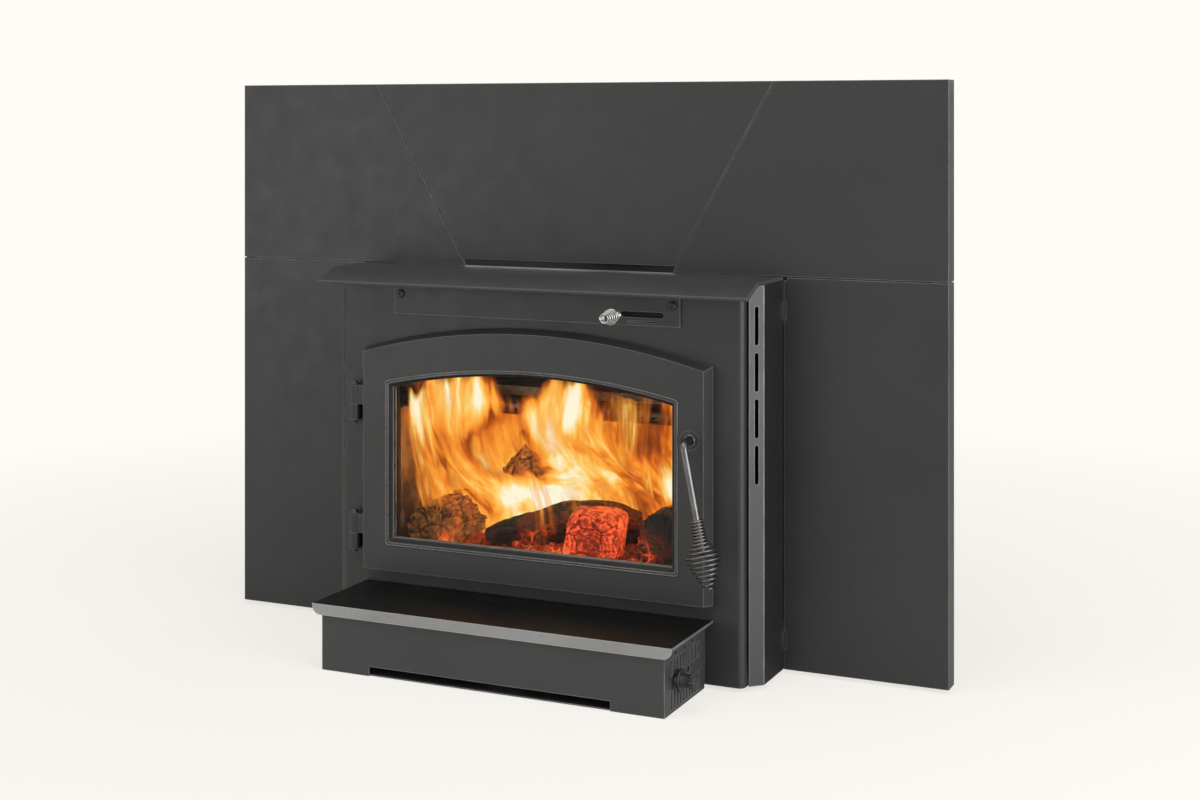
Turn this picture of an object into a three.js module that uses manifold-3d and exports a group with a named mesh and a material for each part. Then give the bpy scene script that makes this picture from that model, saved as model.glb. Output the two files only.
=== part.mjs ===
// Wood-burning fireplace insert: a steel firebox with an arched glass door, a blower under an
// ash shelf, and a folded sheet-metal surround that closes the masonry opening around it.
//
// Millimetres, +Z up, -Y towards the room. Inside this file Y = 0 is the front face of the
// surround; the whole insert is shifted at the end so that the origin is the middle of its
// footprint, on the hearth.

import * as THREE from 'three';
import { mergeVertices } from 'three/addons/utils/BufferGeometryUtils.js';
import Module from 'manifold-3d';

const wasm = await Module();
wasm.setup();

// ---------------------------------------------------------------- driving dimensions

const fit = 0.3; // gap between pieces that rest on or against each other
const past = 1; // how far a cutter runs past what it cuts, and a lug into what it joins
const weld = 1e-4; // vertices this near are one
const coilSteps = 8; // steps in a turn of wound wire
const rodSteps = 48; // along the bent handle rod

// surround
const surroundWidth = 1040;
const surroundHeight = 750;
const surroundSheet = 2;
const surroundReturn = 27;
const surroundSeam = 1.2;
const seamDrop = 0.2; // level seam below the hood's top
const topPanelHalfTop = 294; // half-width of the centre panel at its upper edge
const topPanelHalfBottom = 153;
const convectionSlot = 8.5; // gap between the hood and the centre panel
const bodyCut = 0.8; // gap between the side panels and the body
const notchHeight = 23;
const notchDepth = 3;
const notchLow = 26; // lower notch above the panel's foot
const notchHigh = 54; // upper notch below the hood's top
const panelTongue = 4; // of the lower panels, over the top corners of the body
const joiningStrip = 30;
const joiningBodyGap = 10; // strips beside the body, outside its side
const joiningHoodGap = 4; // strips over the hood, above its top
const joiningRise = 2; // strips above the centre panel's lower edge
const bracketMargin = 60; // a bracket's ends inside the lower panel's

// body
const bodyWidth = 613;
const bodyHeight = 500;
const bodyDepth = 385.2; // behind the front face of the surround
const standOff = 5; // body and surround above the hearth
const casingSheet = 1.6;
const facadeProjection = 99.5; // from the surround to the front of the facade
const facadeSheet = 3;
const facadeCorner = 8;
const facadeReturn = 24;
const facadeTopGap = 19; // warm-air outlet between the facade and the hood
const hoodTab = 30;
const ventPlateWidth = 20.9;
const ventPlateGap = 3; // between the facade and the corner vent plate
const ventPlateSetback = 12.1;
const ventSlotWidth = 5.2;
const ventSlotLength = 48.3;
const ventSlotPitch = 57.4;
const ventSlotCount = 4;
const ventSlotDrop = 30.5; // top of the first slot below the hood's top

// hood
const hoodPlate = 4.76;
const hoodBendInset = 4.5; // bend behind the facade's front
const hoodLip = 42.4;
const hoodLipAngle = THREE.MathUtils.degToRad(22);

// firebox
const sideAirGap = 50.5; // from the body's outer side to the firebox
const rearAirGap = 55.4;
const topAirGap = 59; // from the hood's top to the firebox
const fireboxWall = 5;
const fireboxFlange = 6;
const fireboxFloor = 80;
const flangeMargin = 18; // the flange ends this far inside the facade's corners
const brickThickness = 30;
const brickSetback = 30; // behind the firebox flange
const brickTubeGap = 2.2; // between the side bricks and the air tubes above them
const brickJoint = 3;
const brickWidth = 114;
const tubeRadius = 11.5;
const tubeWall = 1.5;
const tubeCount = 3;
const tubePitch = 40;
const tubeSetback = 30; // first tube behind the firebox flange
const tubeDrop = 107.5; // top of the tubes below the top of the firebox
const baffleThickness = 12;
const baffleSetback = 45;
const flueRadius = 76;
const flueWall = 3;
const flueFlange = 14;
const flueSetback = 155; // from the back of the body to the flue's centre
const collarHeight = 40;
const ductHalfWidth = 150;
const ductBottom = 12;
const ductHeadroom = 10; // duct's top below the firebox floor

// door
const doorMargin = 38.7; // from the facade's side to the door's back edge
const doorShelfGap = 18.3; // door above the ash shelf
const doorCoverGap = 11; // door's crown below the air-control cover
const doorRise = 35; // crown above the corners
const doorThickness = 18;
const doorGap = 2.5;
const doorDraft = 6;
const doorDraftBottom = 2;
const doorStile = 50; // from the door's back edge to the clear window
const doorSill = 46.3;
const doorHead = 61; // between the two crowns
const windowRise = 24;
const windowBevel = 7.5;
const windowBevelBottom = 8.4;
const windowBevelTop = 5.5;
const bevelLap = 0.01; // the bevel's cutter reaches this far into the glass rebate
const windowLip = 6.2;
const glassThickness = 4.8;
const glassOverlap = 5;
const glassTape = 1.5;
const tapeInset = 0.6; // tape and retainer outside the clear window
const rebatePlay = 0.5; // rebate outside the glass
const retainerThickness = 2.5;
const ropeWidth = 6.6;
const ropeGrooveDepth = 6;
const ropeWallWidth = 2;
const fireboxMouth = 4; // the firebox opening is this much larger than the window
const facadeReveal = 7; // the door covers the facade's opening by this much
const archSteps = 20;

// hinges
const hingeAxisGap = 13; // pin axis outside the door's back edge
const hingeAxisForward = 10.5; // pin axis in front of the facade
const hingePinRadius = 4;
const hingeWall = 4.2; // barrel around the pin
const hingeWeb = 10;
const hingeWebSetback = 1; // web's middle behind the pin
const hingeBodyBarrel = 21;
const hingeDoorBarrel = 25.5;
const hingeLow = 25.3; // lower hinge above the door's bottom
const hingeHigh = 98; // upper hinge below the door's corners
const pinDomeBrim = 1.5;
const pinDomeHeight = 6;
const pinTail = 3; // below the lower barrel

// door handle
const handlePivotInset = 24.5; // from the door's back edge
const handlePivotDrop = 90.5; // below the door's corners
const handleRodRadius = 4.75;
const handleStandOff = 22; // rod's centre in front of the door at the bend
const handleBend = 11;
const handleTail = 2; // rod behind the pawl
const handleDrop = 169.5;
const handleLeanSide = 40.5;
const handleLeanOut = 16;
const bushWall = 2.35;
const bushProud = 1.5; // bush in front of the door
const bushRecessWidth = 4.9; // recess around the bush
const bushRecessDepth = 1.2;
const gripStart = 92.5; // along the rod, from the bend
const gripLength = 82.6;
const gripWire = 1.4;
const gripBulgeRadius = 20.6;
const gripEndRadius = 3.6;
const gripNeckLength = 20.65; // from the coil's start to where it swells
const gripBellyLength = 47.1; // from the coil's start to its widest turn
const gripTaperBow = 0.35; // how much the end bows out from a plain cone
const gripTurns = 17.5;
const gripPitch = 3.75; // of the close turns round the rod
const gripTightTurns = 6;
const gripEaseTurns = 5;
const gripRodLength = 41.3; // of the rod inside the coil
const pawlReach = 16;
const pawlHubWall = 3.95;
const pawlThickness = 6;
const pawlNoseHalf = 4.95;
const pawlNoseCorner = 2;
const pawlSetback = 18; // pawl's front behind the door's back face
const latchClearance = 2;
const latchHoleClearance = 4; // above and below the pawl's tip
const keeperHeadroom = 8; // keeper beyond the latch hole
const keeperRelief = 1.5; // behind the rod's end
const keeperWall = 2;

// air control
const coverMargin = 82.7; // from the facade's side to the cover
const coverHeight = 40;
const coverThickness = 2.5;
const coverScrewInset = 10;
const coverScrewDrop = 13;
const coverScrewRadius = 5.5;
const coverScrewHead = 3;
const slideSlotInset = 80; // slot's left end inside the cover's right side
const slideTravel = 50;
const slideRise = 14; // slot's middle above the cover's lower edge
const slideRodRadius = 2.4;
const slideRodRelief = 1.6;
const slideSlotSide = 1.2; // between the rod and the slot's long sides
const slideFacadeRelief = 2; // the facade's slot around the cover's
const slidePlateHalf = 60;
const slidePlateThickness = 2;
const slidePlateHeight = 26;
const wedgeInset = 9; // from the slot's left end
const wedgeLength = 38.4;
const wedgeRise = 5;
const wedgeWide = 2;
const wedgeNarrow = 0.7;
const knobStart = 20; // coil's first turn in front of the cover
const knobWire = 0.9;
const knobNeckLength = 8;
const knobNeckTurns = 3;
const knobFlareLength = 14;
const knobFlareTurns = 1.5;
const knobLength = 44;
const knobTurns = 9.5;
const knobBellyRadius = 9.6;
const knobTipRadius = 5;
const knobRodInset = 2; // rod's tip in the first wide turn

// ash shelf and blower
const shelfMargin = 39.7; // from the facade's side to the shelf
const shelfDepth = 135.7; // in front of the facade
const shelfHeight = 85.4;
const shelfSheet = 3;
const shelfFlange = 14;
const shelfCorner = 12;
const boxInset = 11.5; // box side inside the shelf's end
const boxSetback = 5.7; // box front behind the shelf's front edge
const boxSheet = 1.6;
const intakeMargin = 70; // from the box side to the intake
const intakeHeight = 12;
const grilleStart = 23; // first slot behind the box front
const grilleEnd = 15; // least plain wall behind the last slot
const grillePitch = 9.6;
const grilleSlot = 5;
const grilleLowRow = [3.5, 26.3]; // above the hearth
const grilleHighRow = [37.5, 19.3]; // below the box's top
const keyholeSlots = [5, 6]; // upper slots that give way to the keyhole
const keyholeOffset = 76.6;
const keyholeRadius = 5;
const keyholeSlit = 4.4;
const keyholeDrop = 44.1;
const keyholeSlitDrop = 7;
const ovalHoles = [[36.8, 13.5], [64.6, 13.7], [91.1, 12.7]]; // behind the front, below the top
const ovalHalfLength = 4.2;
const ovalHalfHeight = 2.8;
const motorWheelStep = 3; // motor's radius inside the wheels'
const motorHalfLength = 35;
const motorFootHalf = 21;
const motorFootSpread = 18.9;
const motorSetback = 64.5; // motor axis behind the box front
const motorBore = 0.4; // play around the shaft
const shaftRadius = 4;
const wheelHeadroom = 10.25;
const wheelGap = 10;
const wheelLength = 95;
const wheelPlate = 3;
const bladeCount = 12;
const bladeDepth = 6;
const bladeThickness = 1.5;
const speedOffset = 35.5; // speed knob's axis behind the box front
const speedHeight = 37;
const speedShaftRadius = 3;
const speedBushRadius = 4.7;
const speedBushProud = 3; // bush outside the box
const speedBodyHalf = 14;
const speedBodyDepth = 24;
const speedKnobGap = 5.5;
const speedKnobDisc = 14;
const speedKnobDiscThickness = 3;
const speedKnobNeck = 8;
const speedKnobNeckLength = 11;
const speedKnobGrip = 10;
const speedKnobGripLength = 6.5;

// levelling bolts
const boltPadRadius = 12;
const boltRadius = 4;
const boltLength = 40;
const boltSetback = 85; // in front of the body's back

// firewood
const logSides = 10;
const logRings = 6;
const logFlats = 3; // split faces round a log
const woodHalfWidth = 220.7; // the hearth that the logs are laid out for
const woodDepth = 354.7;
const woodMiddle = 117.15; // middle of that hearth, behind the surround's front

// ---------------------------------------------------------------- derived places

const surroundHalf = surroundWidth / 2;
const surroundBottom = standOff;
const surroundTop = standOff + surroundHeight;
const bodyHalf = bodyWidth / 2;
const hoodTop = standOff + bodyHeight;
const hoodUnder = hoodTop - hoodPlate;
const casingTop = hoodUnder - fit;
const seamHeight = hoodTop - seamDrop;
const topPanelBottom = hoodTop + convectionSlot;
const notchHeights = [surroundBottom + notchLow, hoodTop - notchHigh];

const facadeFront = -facadeProjection;
const facadeBack = facadeFront + facadeSheet;
const ventLeg = ventPlateWidth * Math.SQRT1_2;
const ventFront = facadeFront + ventPlateSetback;
const casingFront = ventFront + ventLeg;
const facadeHalf = bodyHalf - ventLeg - ventPlateGap;
const hoodBend = facadeFront + hoodBendInset;
const hoodLipHeight = hoodLip * Math.sin(hoodLipAngle);
const facadeTop = hoodTop - facadeTopGap;

const flangeFront = facadeBack + fit;
const flangeBack = flangeFront + fireboxFlange;
const flangeHalf = facadeHalf - flangeMargin;
const fireboxHalf = bodyHalf - sideAirGap;
const fireboxInner = fireboxHalf - fireboxWall;
const fireboxTop = hoodTop - topAirGap;
const fireboxRear = bodyDepth - rearAirGap;
const ductTop = fireboxFloor - ductHeadroom;
const brickFront = flangeBack + brickSetback;
const brickBase = fireboxFloor + fireboxWall + fit;
const hearth = brickBase + brickThickness; // top of the floor bricks
const brickFace = fireboxInner - fit - brickThickness;
const brickRear = fireboxRear - fireboxWall - fit;
const brickRearFace = brickRear - brickThickness;
const tubeTop = fireboxTop - tubeDrop;
const brickTop = tubeTop - 2 * tubeRadius - brickTubeGap;
const flueCentre = bodyDepth - flueSetback;

const coverHalf = facadeHalf - coverMargin;
const coverBottom = facadeTop - coverHeight;
const coverFront = facadeFront - fit - coverThickness;
const slideHeight = coverBottom + slideRise;
const slideSlotStart = coverHalf - slideSlotInset;
const slideSlotHalf = slideRodRadius + slideSlotSide;
const slideRodX = slideSlotStart + slideRodRadius + slideRodRelief;
const slideSlotEnd = slideRodX + slideTravel + slideRodRadius + slideRodRelief;

const doorHalf = facadeHalf - doorMargin;
const doorBottom = shelfHeight + doorShelfGap;
const doorCrown = coverBottom - doorCoverGap;
const doorCorner = doorCrown - doorRise;
const doorBack = facadeFront - doorGap;
const doorFront = doorBack - doorThickness;
const windowHalf = doorHalf - doorStile;
const windowBottom = doorBottom + doorSill;
const windowCrown = doorCrown - doorHead;
const windowCorner = windowCrown - windowRise;
const glassBack = doorFront + windowLip + fit + glassTape + fit + glassThickness;
const ropeStart = glassOverlap + rebatePlay + ropeWallWidth; // groove's inner wall, outside the window
const hingeX = -(doorHalf + hingeAxisGap);
const hingeY = facadeFront - hingeAxisForward;
const hingeHeights = [doorBottom + hingeLow, doorCorner - hingeHigh];
const hingeBore = hingePinRadius + fit;
const hingeRadius = hingeBore + hingeWall;
const pinDomeRadius = hingePinRadius + pinDomeBrim;
const pivotX = doorHalf - handlePivotInset;
const pivotHeight = doorCorner - handlePivotDrop;
const rodY = doorFront - handleStandOff;
const rodBore = handleRodRadius + fit;
const bushRadius = rodBore + bushWall;
const bushRecessRadius = bushRadius + bushRecessWidth;
const pawlHub = rodBore + pawlHubWall;
const latchHoleRight = pivotX + pawlReach + latchClearance;
const latchHoleLeft = pivotX - pawlHub;
const latchHoleHalf = pawlReach + latchHoleClearance;
const keeperHalf = latchHoleHalf + keeperHeadroom;
const pawlFront = doorBack + pawlSetback;
const rodEnd = pawlFront + pawlThickness + handleTail;
const keeperBack = rodEnd + keeperRelief + keeperWall;

const shelfFront = facadeFront - shelfDepth;
const shelfHalf = facadeHalf - shelfMargin;
const boxFront = shelfFront + boxSetback;
const boxHalf = shelfHalf - boxInset;
const boxBack = facadeFront - fit;
const boxTop = shelfHeight - shelfSheet - fit;
const grilleCount = 1 + Math.floor((boxBack - boxFront - grilleStart - grilleEnd) / grillePitch);
const motorY = boxFront + motorSetback;
const motorHeight = (boxSheet + boxTop) / 2;
const wheelRadius = (boxTop - boxSheet) / 2 - wheelHeadroom;
const motorRadius = wheelRadius - motorWheelStep;
const speedY = boxFront + speedOffset;

// ---------------------------------------------------------------- finishes

function finish(color, roughness, metalness) {
  return new THREE.MeshStandardMaterial({ color, roughness, metalness });
}

const charcoalPaint = finish(0x3f3f40, 0.62, 0.35);
const blackPaint = finish(0x1b1b1c, 0.6, 0.3);
const castPaint = finish(0x3a3a3b, 0.55, 0.4);
const firebrick = finish(0xb9a58a, 0.95, 0);
const vermiculite = finish(0x9c9184, 0.98, 0);
const stainless = finish(0x8c8880, 0.35, 0.9);
const dullSteel = finish(0x7c7b79, 0.38, 0.9);
const galvanised = finish(0x8b8f92, 0.5, 0.8);
const chrome = finish(0xc9c9c9, 0.15, 1);
const blackPlastic = finish(0x202021, 0.5, 0);
const glassRope = finish(0x2b2a28, 0.95, 0);
const ceramicGlass = new THREE.MeshStandardMaterial({
  color: 0xdcd6cc, roughness: 0.05, metalness: 0, transparent: true, opacity: 0.25,
});
const charredWood = finish(0x2a1a12, 0.95, 0);
const glowingWood = finish(0xb23a1c, 0.9, 0);

// ---------------------------------------------------------------- shape helpers

const surroundFrame = new THREE.Group(); // Y = 0 at the surround's front face

function add(name, geometry, material, parent = surroundFrame) {
  const mesh = new THREE.Mesh(geometry, material);
  mesh.name = name;
  parent.add(mesh);
  return mesh;
}

function outline(points, holes = []) {
  const shape = new THREE.Shape(points.map(([a, b]) => new THREE.Vector2(a, b)));
  shape.holes = holes;
  return shape;
}

function rectangle(a0, a1, b0, b1) {
  return outline([[a0, b0], [a1, b0], [a1, b1], [a0, b1]]);
}

// a slot with round ends, standing (vertical) or lying
function roundSlot(a, b, halfLength, radius, vertical) {
  const shape = new THREE.Shape();
  const run = halfLength - radius;
  if (vertical) {
    shape.absarc(a, b + run, radius, 0, Math.PI, false);
    shape.absarc(a, b - run, radius, Math.PI, 2 * Math.PI, false);
  } else {
    shape.absarc(a + run, b, radius, -Math.PI / 2, Math.PI / 2, false);
    shape.absarc(a - run, b, radius, Math.PI / 2, 1.5 * Math.PI, false);
  }
  return shape;
}

function disc(a, b, radius) {
  return new THREE.Shape().absarc(a, b, radius, 0, 2 * Math.PI, false);
}

// how a flat outline and its depth turn to face along Y or X
const facing = {
  xz: new THREE.Matrix4().makeRotationX(Math.PI / 2),
  yz: new THREE.Matrix4().set(0, 0, 1, 0, 1, 0, 0, 0, 0, 1, 0, 0, 0, 0, 0, 1),
};

function extrude(shape, depth, curveSegments) {
  return new THREE.ExtrudeGeometry(shape, { depth, bevelEnabled: false, curveSegments });
}

function plateXY(shape, z0, z1, curveSegments = 6) {
  return extrude(shape, z1 - z0, curveSegments).translate(0, 0, z0);
}

function plateXZ(shape, y0, y1, curveSegments = 6) {
  return extrude(shape, y1 - y0, curveSegments).applyMatrix4(facing.xz).translate(0, y1, 0);
}

function plateYZ(shape, x0, x1, curveSegments = 6) {
  return extrude(shape, x1 - x0, curveSegments).applyMatrix4(facing.yz).translate(x0, 0, 0);
}

function block(x0, x1, y0, y1, z0, z1) {
  const box = new THREE.BoxGeometry(x1 - x0, y1 - y0, z1 - z0);
  return box.translate((x0 + x1) / 2, (y0 + y1) / 2, (z0 + z1) / 2);
}

function cylinderX(x0, x1, y, z, radius, sides = 24) {
  const cylinder = new THREE.CylinderGeometry(radius, radius, x1 - x0, sides);
  return cylinder.rotateZ(Math.PI / 2).translate((x0 + x1) / 2, y, z);
}

function cylinderY(y0, y1, x, z, radius, sides = 24) {
  return new THREE.CylinderGeometry(radius, radius, y1 - y0, sides).translate(x, (y0 + y1) / 2, z);
}

function cylinderZ(z0, z1, x, y, radius, sides = 24) {
  const cylinder = new THREE.CylinderGeometry(radius, radius, z1 - z0, sides);
  return cylinder.rotateX(Math.PI / 2).translate(x, y, (z0 + z1) / 2);
}

// a closed mesh to a solid for cutting and joining, and back
function solid(geometry) {
  const bare = new THREE.BufferGeometry();
  bare.setAttribute('position', geometry.getAttribute('position'));
  bare.setIndex(geometry.index);
  const merged = mergeVertices(bare, weld);
  return new wasm.Manifold(new wasm.Mesh({
    numProp: 3,
    vertProperties: new Float32Array(merged.getAttribute('position').array),
    triVerts: new Uint32Array(merged.index.array),
  }));
}

function geometryOf(manifold) {
  const mesh = manifold.getMesh();
  const geometry = new THREE.BufferGeometry();
  geometry.setAttribute('position', new THREE.BufferAttribute(mesh.vertProperties, 3));
  geometry.setIndex(new THREE.BufferAttribute(mesh.triVerts, 1));
  geometry.computeVertexNormals();
  return geometry;
}

function joined(...geometries) {
  return geometries.map(solid).reduce((all, next) => all.add(next));
}

function cut(body, ...geometries) {
  return geometries.map(solid).reduce((left, next) => left.subtract(next), body);
}

// a skin through rings with equally many points, closed by a fan at each end
function skin(rings) {
  const sides = rings[0].length;
  const positions = rings.flat().flatMap((p) => [p.x, p.y, p.z]);
  const index = [];
  for (let ring = 0; ring + 1 < rings.length; ring += 1) {
    for (let side = 0; side < sides; side += 1) {
      const a = ring * sides + side;
      const b = ring * sides + ((side + 1) % sides);
      index.push(a, b, b + sides, a, b + sides, a + sides);
    }
  }
  const last = (rings.length - 1) * sides;
  for (let side = 1; side + 1 < sides; side += 1) {
    index.push(0, side + 1, side);
    index.push(last, last + side, last + side + 1);
  }
  const geometry = new THREE.BufferGeometry();
  geometry.setAttribute('position', new THREE.Float32BufferAttribute(positions, 3));
  geometry.setIndex(signedVolume(positions, index) < 0 ? turned(index) : index);
  geometry.computeVertexNormals();
  return geometry;
}

function signedVolume(positions, index) {
  const corner = (i) => new THREE.Vector3().fromArray(positions, 3 * index[i]);
  let volume = 0;
  for (let i = 0; i < index.length; i += 3) {
    volume += corner(i).dot(corner(i + 1).cross(corner(i + 2))) / 6;
  }
  return volume;
}

function turned(index) {
  const flipped = [];
  for (let i = 0; i < index.length; i += 3) {
    flipped.push(index[i], index[i + 2], index[i + 1]);
  }
  return flipped;
}

// an opening with an arched head, as half-width, sill, and the arc's centre and radius
function arch(half, bottom, corner, crown) {
  const rise = crown - corner;
  const radius = (half * half + rise * rise) / (2 * rise);
  return { half, bottom, radius, centre: crown - radius };
}

function grown(form, side, bottom = side, top = side) {
  return { ...form, half: form.half + side, bottom: form.bottom - bottom, radius: form.radius + top };
}

function archPoints(form) {
  const reach = Math.asin(form.half / form.radius);
  const points = [[-form.half, form.bottom], [form.half, form.bottom]];
  for (let step = 0; step <= archSteps; step += 1) {
    const angle = reach * (1 - (2 * step) / archSteps);
    points.push([form.radius * Math.sin(angle), form.centre + form.radius * Math.cos(angle)]);
  }
  return points;
}

function archPrism(form, y0, y1) {
  return plateXZ(outline(archPoints(form)), y0, y1);
}

function archLoft(front, yFront, back, yBack) {
  const ring = (form, y) => archPoints(form).map(([x, z]) => new THREE.Vector3(x, y, z));
  return skin([ring(front, yFront), ring(back, yBack)]);
}

// ---------------------------------------------------------------- wound wire

// One tube of five sides wound about +Z from Z = 0; both ends run straight for one wire
// diameter. radiusAt and riseAt are read at a share of the turns, from 0 to 1.
function windCoil(name, turns, wire, radiusAt, riseAt) {
  const count = Math.round(turns * coilSteps);
  const centres = [];
  for (let step = 0; step <= count; step += 1) {
    const turn = step / coilSteps;
    const angle = 2 * Math.PI * turn;
    const radius = radiusAt(turn / turns);
    centres.push(new THREE.Vector3(
      radius * Math.cos(angle), radius * Math.sin(angle), riseAt(turn / turns),
    ));
  }
  printLeastGap(name, centres, wire);
  centres.unshift(beyond(centres[1], centres[0], 2 * wire));
  centres.push(beyond(centres.at(-2), centres.at(-1), 2 * wire));
  return skin(centres.map((centre, i) => {
    const before = centres[Math.max(i - 1, 0)];
    const after = centres[Math.min(i + 1, centres.length - 1)];
    return wireRing(centre, after.clone().sub(before).normalize(), wire);
  }));
}

function beyond(from, to, distance) {
  return to.clone().add(to.clone().sub(from).setLength(distance));
}

function wireRing(centre, along, wire) {
  const sides = 5;
  const across = new THREE.Vector3(centre.x, centre.y, 0).normalize();
  across.addScaledVector(along, -across.dot(along)).normalize();
  const third = new THREE.Vector3().crossVectors(along, across);
  return Array.from({ length: sides }, (_, side) => {
    const angle = (2 * Math.PI * side) / sides;
    const point = centre.clone().addScaledVector(across, wire * Math.cos(angle));
    return point.addScaledVector(third, wire * Math.sin(angle));
  });
}

function printLeastGap(name, centres, wire) {
  let least = Infinity;
  for (let i = 0; i < centres.length; i += 1) {
    for (let j = i + coilSteps / 2; j < centres.length; j += 1) {
      least = Math.min(least, centres[i].distanceTo(centres[j]) - 2 * wire);
    }
  }
  console.log(`${name}: least gap between turns ${least.toFixed(2)} mm`);
}

// the radius of a wire's centre line whose faceted turn clears a rod inside it
function neckRadius(rodRadius, wire) {
  return (rodRadius + fit + wire) / Math.cos(Math.PI / coilSteps);
}

// eased step from 0 to 1 while t goes from start to end
function ease(t, start, end) {
  return THREE.MathUtils.smoothstep(t, start, end);
}

// ---------------------------------------------------------------- surround

function mirroredX(geometry) {
  const copy = geometry.clone().scale(-1, 1, 1);
  return copy.setIndex(turned([...indexOf(copy)]));
}

function indexOf(geometry) {
  if (geometry.index) return geometry.index.array;
  return Array.from({ length: geometry.getAttribute('position').count }, (_, i) => i);
}

function addPair(name, rightGeometry, material, parent = surroundFrame) {
  add(`${name}_right`, rightGeometry, material, parent);
  add(`${name}_left`, mirroredX(rightGeometry), material, parent);
}

function makeSurround() {
  const half = surroundHalf;
  const inner = bodyHalf + bodyCut;
  const lowerTop = seamHeight - surroundSeam / 2;
  const upperBottom = seamHeight + surroundSeam / 2;
  const flangeInner = half - surroundSheet;
  const slope = (topPanelHalfTop - topPanelHalfBottom) / (surroundTop - seamHeight);
  const seamX = (z) => topPanelHalfBottom + slope * (z - seamHeight);
  const step = inner + panelTongue;

  const lowerFace = plateXZ(outline([
    [inner, surroundBottom], [half, surroundBottom], [half, lowerTop],
    [step, lowerTop], [step, lowerTop - panelTongue], [inner, lowerTop - panelTongue],
  ]), 0, surroundSheet);
  const lowerReturn = block(flangeInner, half, 0, surroundReturn, surroundBottom, lowerTop);
  const notches = notchHeights.map((z) => block(
    inner - past, inner + notchDepth, -past, surroundSheet + past, z, z + notchHeight,
  ));
  addPair('surround_lower', geometryOf(cut(joined(lowerFace, lowerReturn), ...notches)), charcoalPaint);

  const gap = surroundSeam / 2;
  const upperFace = plateXZ(outline([
    [seamX(upperBottom) + gap, upperBottom], [half, upperBottom],
    [half, surroundTop], [seamX(surroundTop) + gap, surroundTop],
  ]), 0, surroundSheet);
  const upperReturn = block(flangeInner, half, 0, surroundReturn, upperBottom, surroundTop);
  const topReturn = block(
    topPanelHalfTop + gap, half, 0, surroundReturn, surroundTop - surroundSheet, surroundTop,
  );
  addPair('surround_upper', geometryOf(joined(upperFace, upperReturn, topReturn)), charcoalPaint);

  const lowHalf = seamX(topPanelBottom) - gap;
  const highHalf = topPanelHalfTop - gap;
  const centreFace = plateXZ(outline([
    [-lowHalf, topPanelBottom], [lowHalf, topPanelBottom],
    [highHalf, surroundTop], [-highHalf, surroundTop],
  ]), 0, surroundSheet);
  const returnBottom = surroundTop - surroundSheet;
  const returnHalf = seamX(returnBottom) - gap; // the return is mitred along the seams
  const centreReturn = plateXZ(outline([
    [-returnHalf, returnBottom], [returnHalf, returnBottom],
    [highHalf, surroundTop], [-highHalf, surroundTop],
  ]), 0, surroundReturn);
  add('surround_top_centre', geometryOf(joined(centreFace, centreReturn)), charcoalPaint);

  makeJoiningFrame(seamX);
  makeSurroundBrackets();
}

// flat strips behind the seams, which hold the five panels together
function makeJoiningFrame(seamX) {
  const y0 = surroundSheet + fit;
  const y1 = y0 + surroundSheet;
  const low = seamHeight - joiningStrip / 2;
  const high = topPanelBottom + joiningStrip;
  const outer = surroundHalf - surroundSheet - joiningStrip / 2;
  const besideBody = bodyHalf + joiningBodyGap;
  const overHood = hoodTop + joiningHoodGap;
  const centreLow = topPanelBottom + joiningRise;
  const stripTop = surroundTop - joiningStrip / 2;
  const strips = [1, -1].flatMap((side) => {
    const mirror = (points) => outline(side > 0 ? points : points.map(([x, z]) => [-x, z]).reverse());
    return [
      mirror([[besideBody, low], [outer, low], [outer, high], [besideBody, high]]),
      mirror([[seamX(overHood), overHood], [besideBody + past, overHood], [besideBody + past, high],
        [seamX(high), high]]),
      mirror([[seamX(overHood) - joiningStrip / 2, centreLow],
        [seamX(overHood) + joiningStrip / 2, centreLow],
        [seamX(stripTop) + joiningStrip / 2, stripTop], [seamX(stripTop) - joiningStrip / 2, stripTop]]),
    ];
  });
  strips.push(rectangle(-seamX(overHood), seamX(overHood), centreLow, high));
  add('surround_joining_frame', geometryOf(joined(...strips.map((s) => plateXZ(s, y0, y1)))), galvanised);
}

// angle brackets between the lower panels and the sides of the body
function makeSurroundBrackets() {
  const inner = bodyHalf + fit;
  const front = surroundSheet + fit;
  const legs = outline([
    [inner, front], [inner + joiningStrip, front], [inner + joiningStrip, front + surroundSheet],
    [inner + surroundSheet, front + surroundSheet], [inner + surroundSheet, front + joiningStrip],
    [inner, front + joiningStrip],
  ]);
  const z0 = surroundBottom + bracketMargin;
  const z1 = seamHeight - bracketMargin;
  addPair('surround_bracket', plateXY(legs, z0, z1), galvanised);
}

// ---------------------------------------------------------------- body shell

function makeCasing() {
  const side = block(bodyHalf - casingSheet, bodyHalf, casingFront + fit, bodyDepth, standOff, casingTop);
  addPair('casing', side, blackPaint);
  const rearHalf = bodyHalf - casingSheet - fit;
  add('casing_rear', block(
    -rearHalf, rearHalf, bodyDepth - casingSheet, bodyDepth, standOff, casingTop,
  ), blackPaint);
  const topFront = surroundSheet + fit;
  const top = outline(
    [[-bodyHalf, topFront], [bodyHalf, topFront], [bodyHalf, bodyDepth], [-bodyHalf, bodyDepth]],
    [disc(0, flueCentre, flueRadius + fit)],
  );
  add('casing_top', plateXY(top, hoodUnder, hoodUnder + casingSheet, 16), blackPaint);
}

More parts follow.
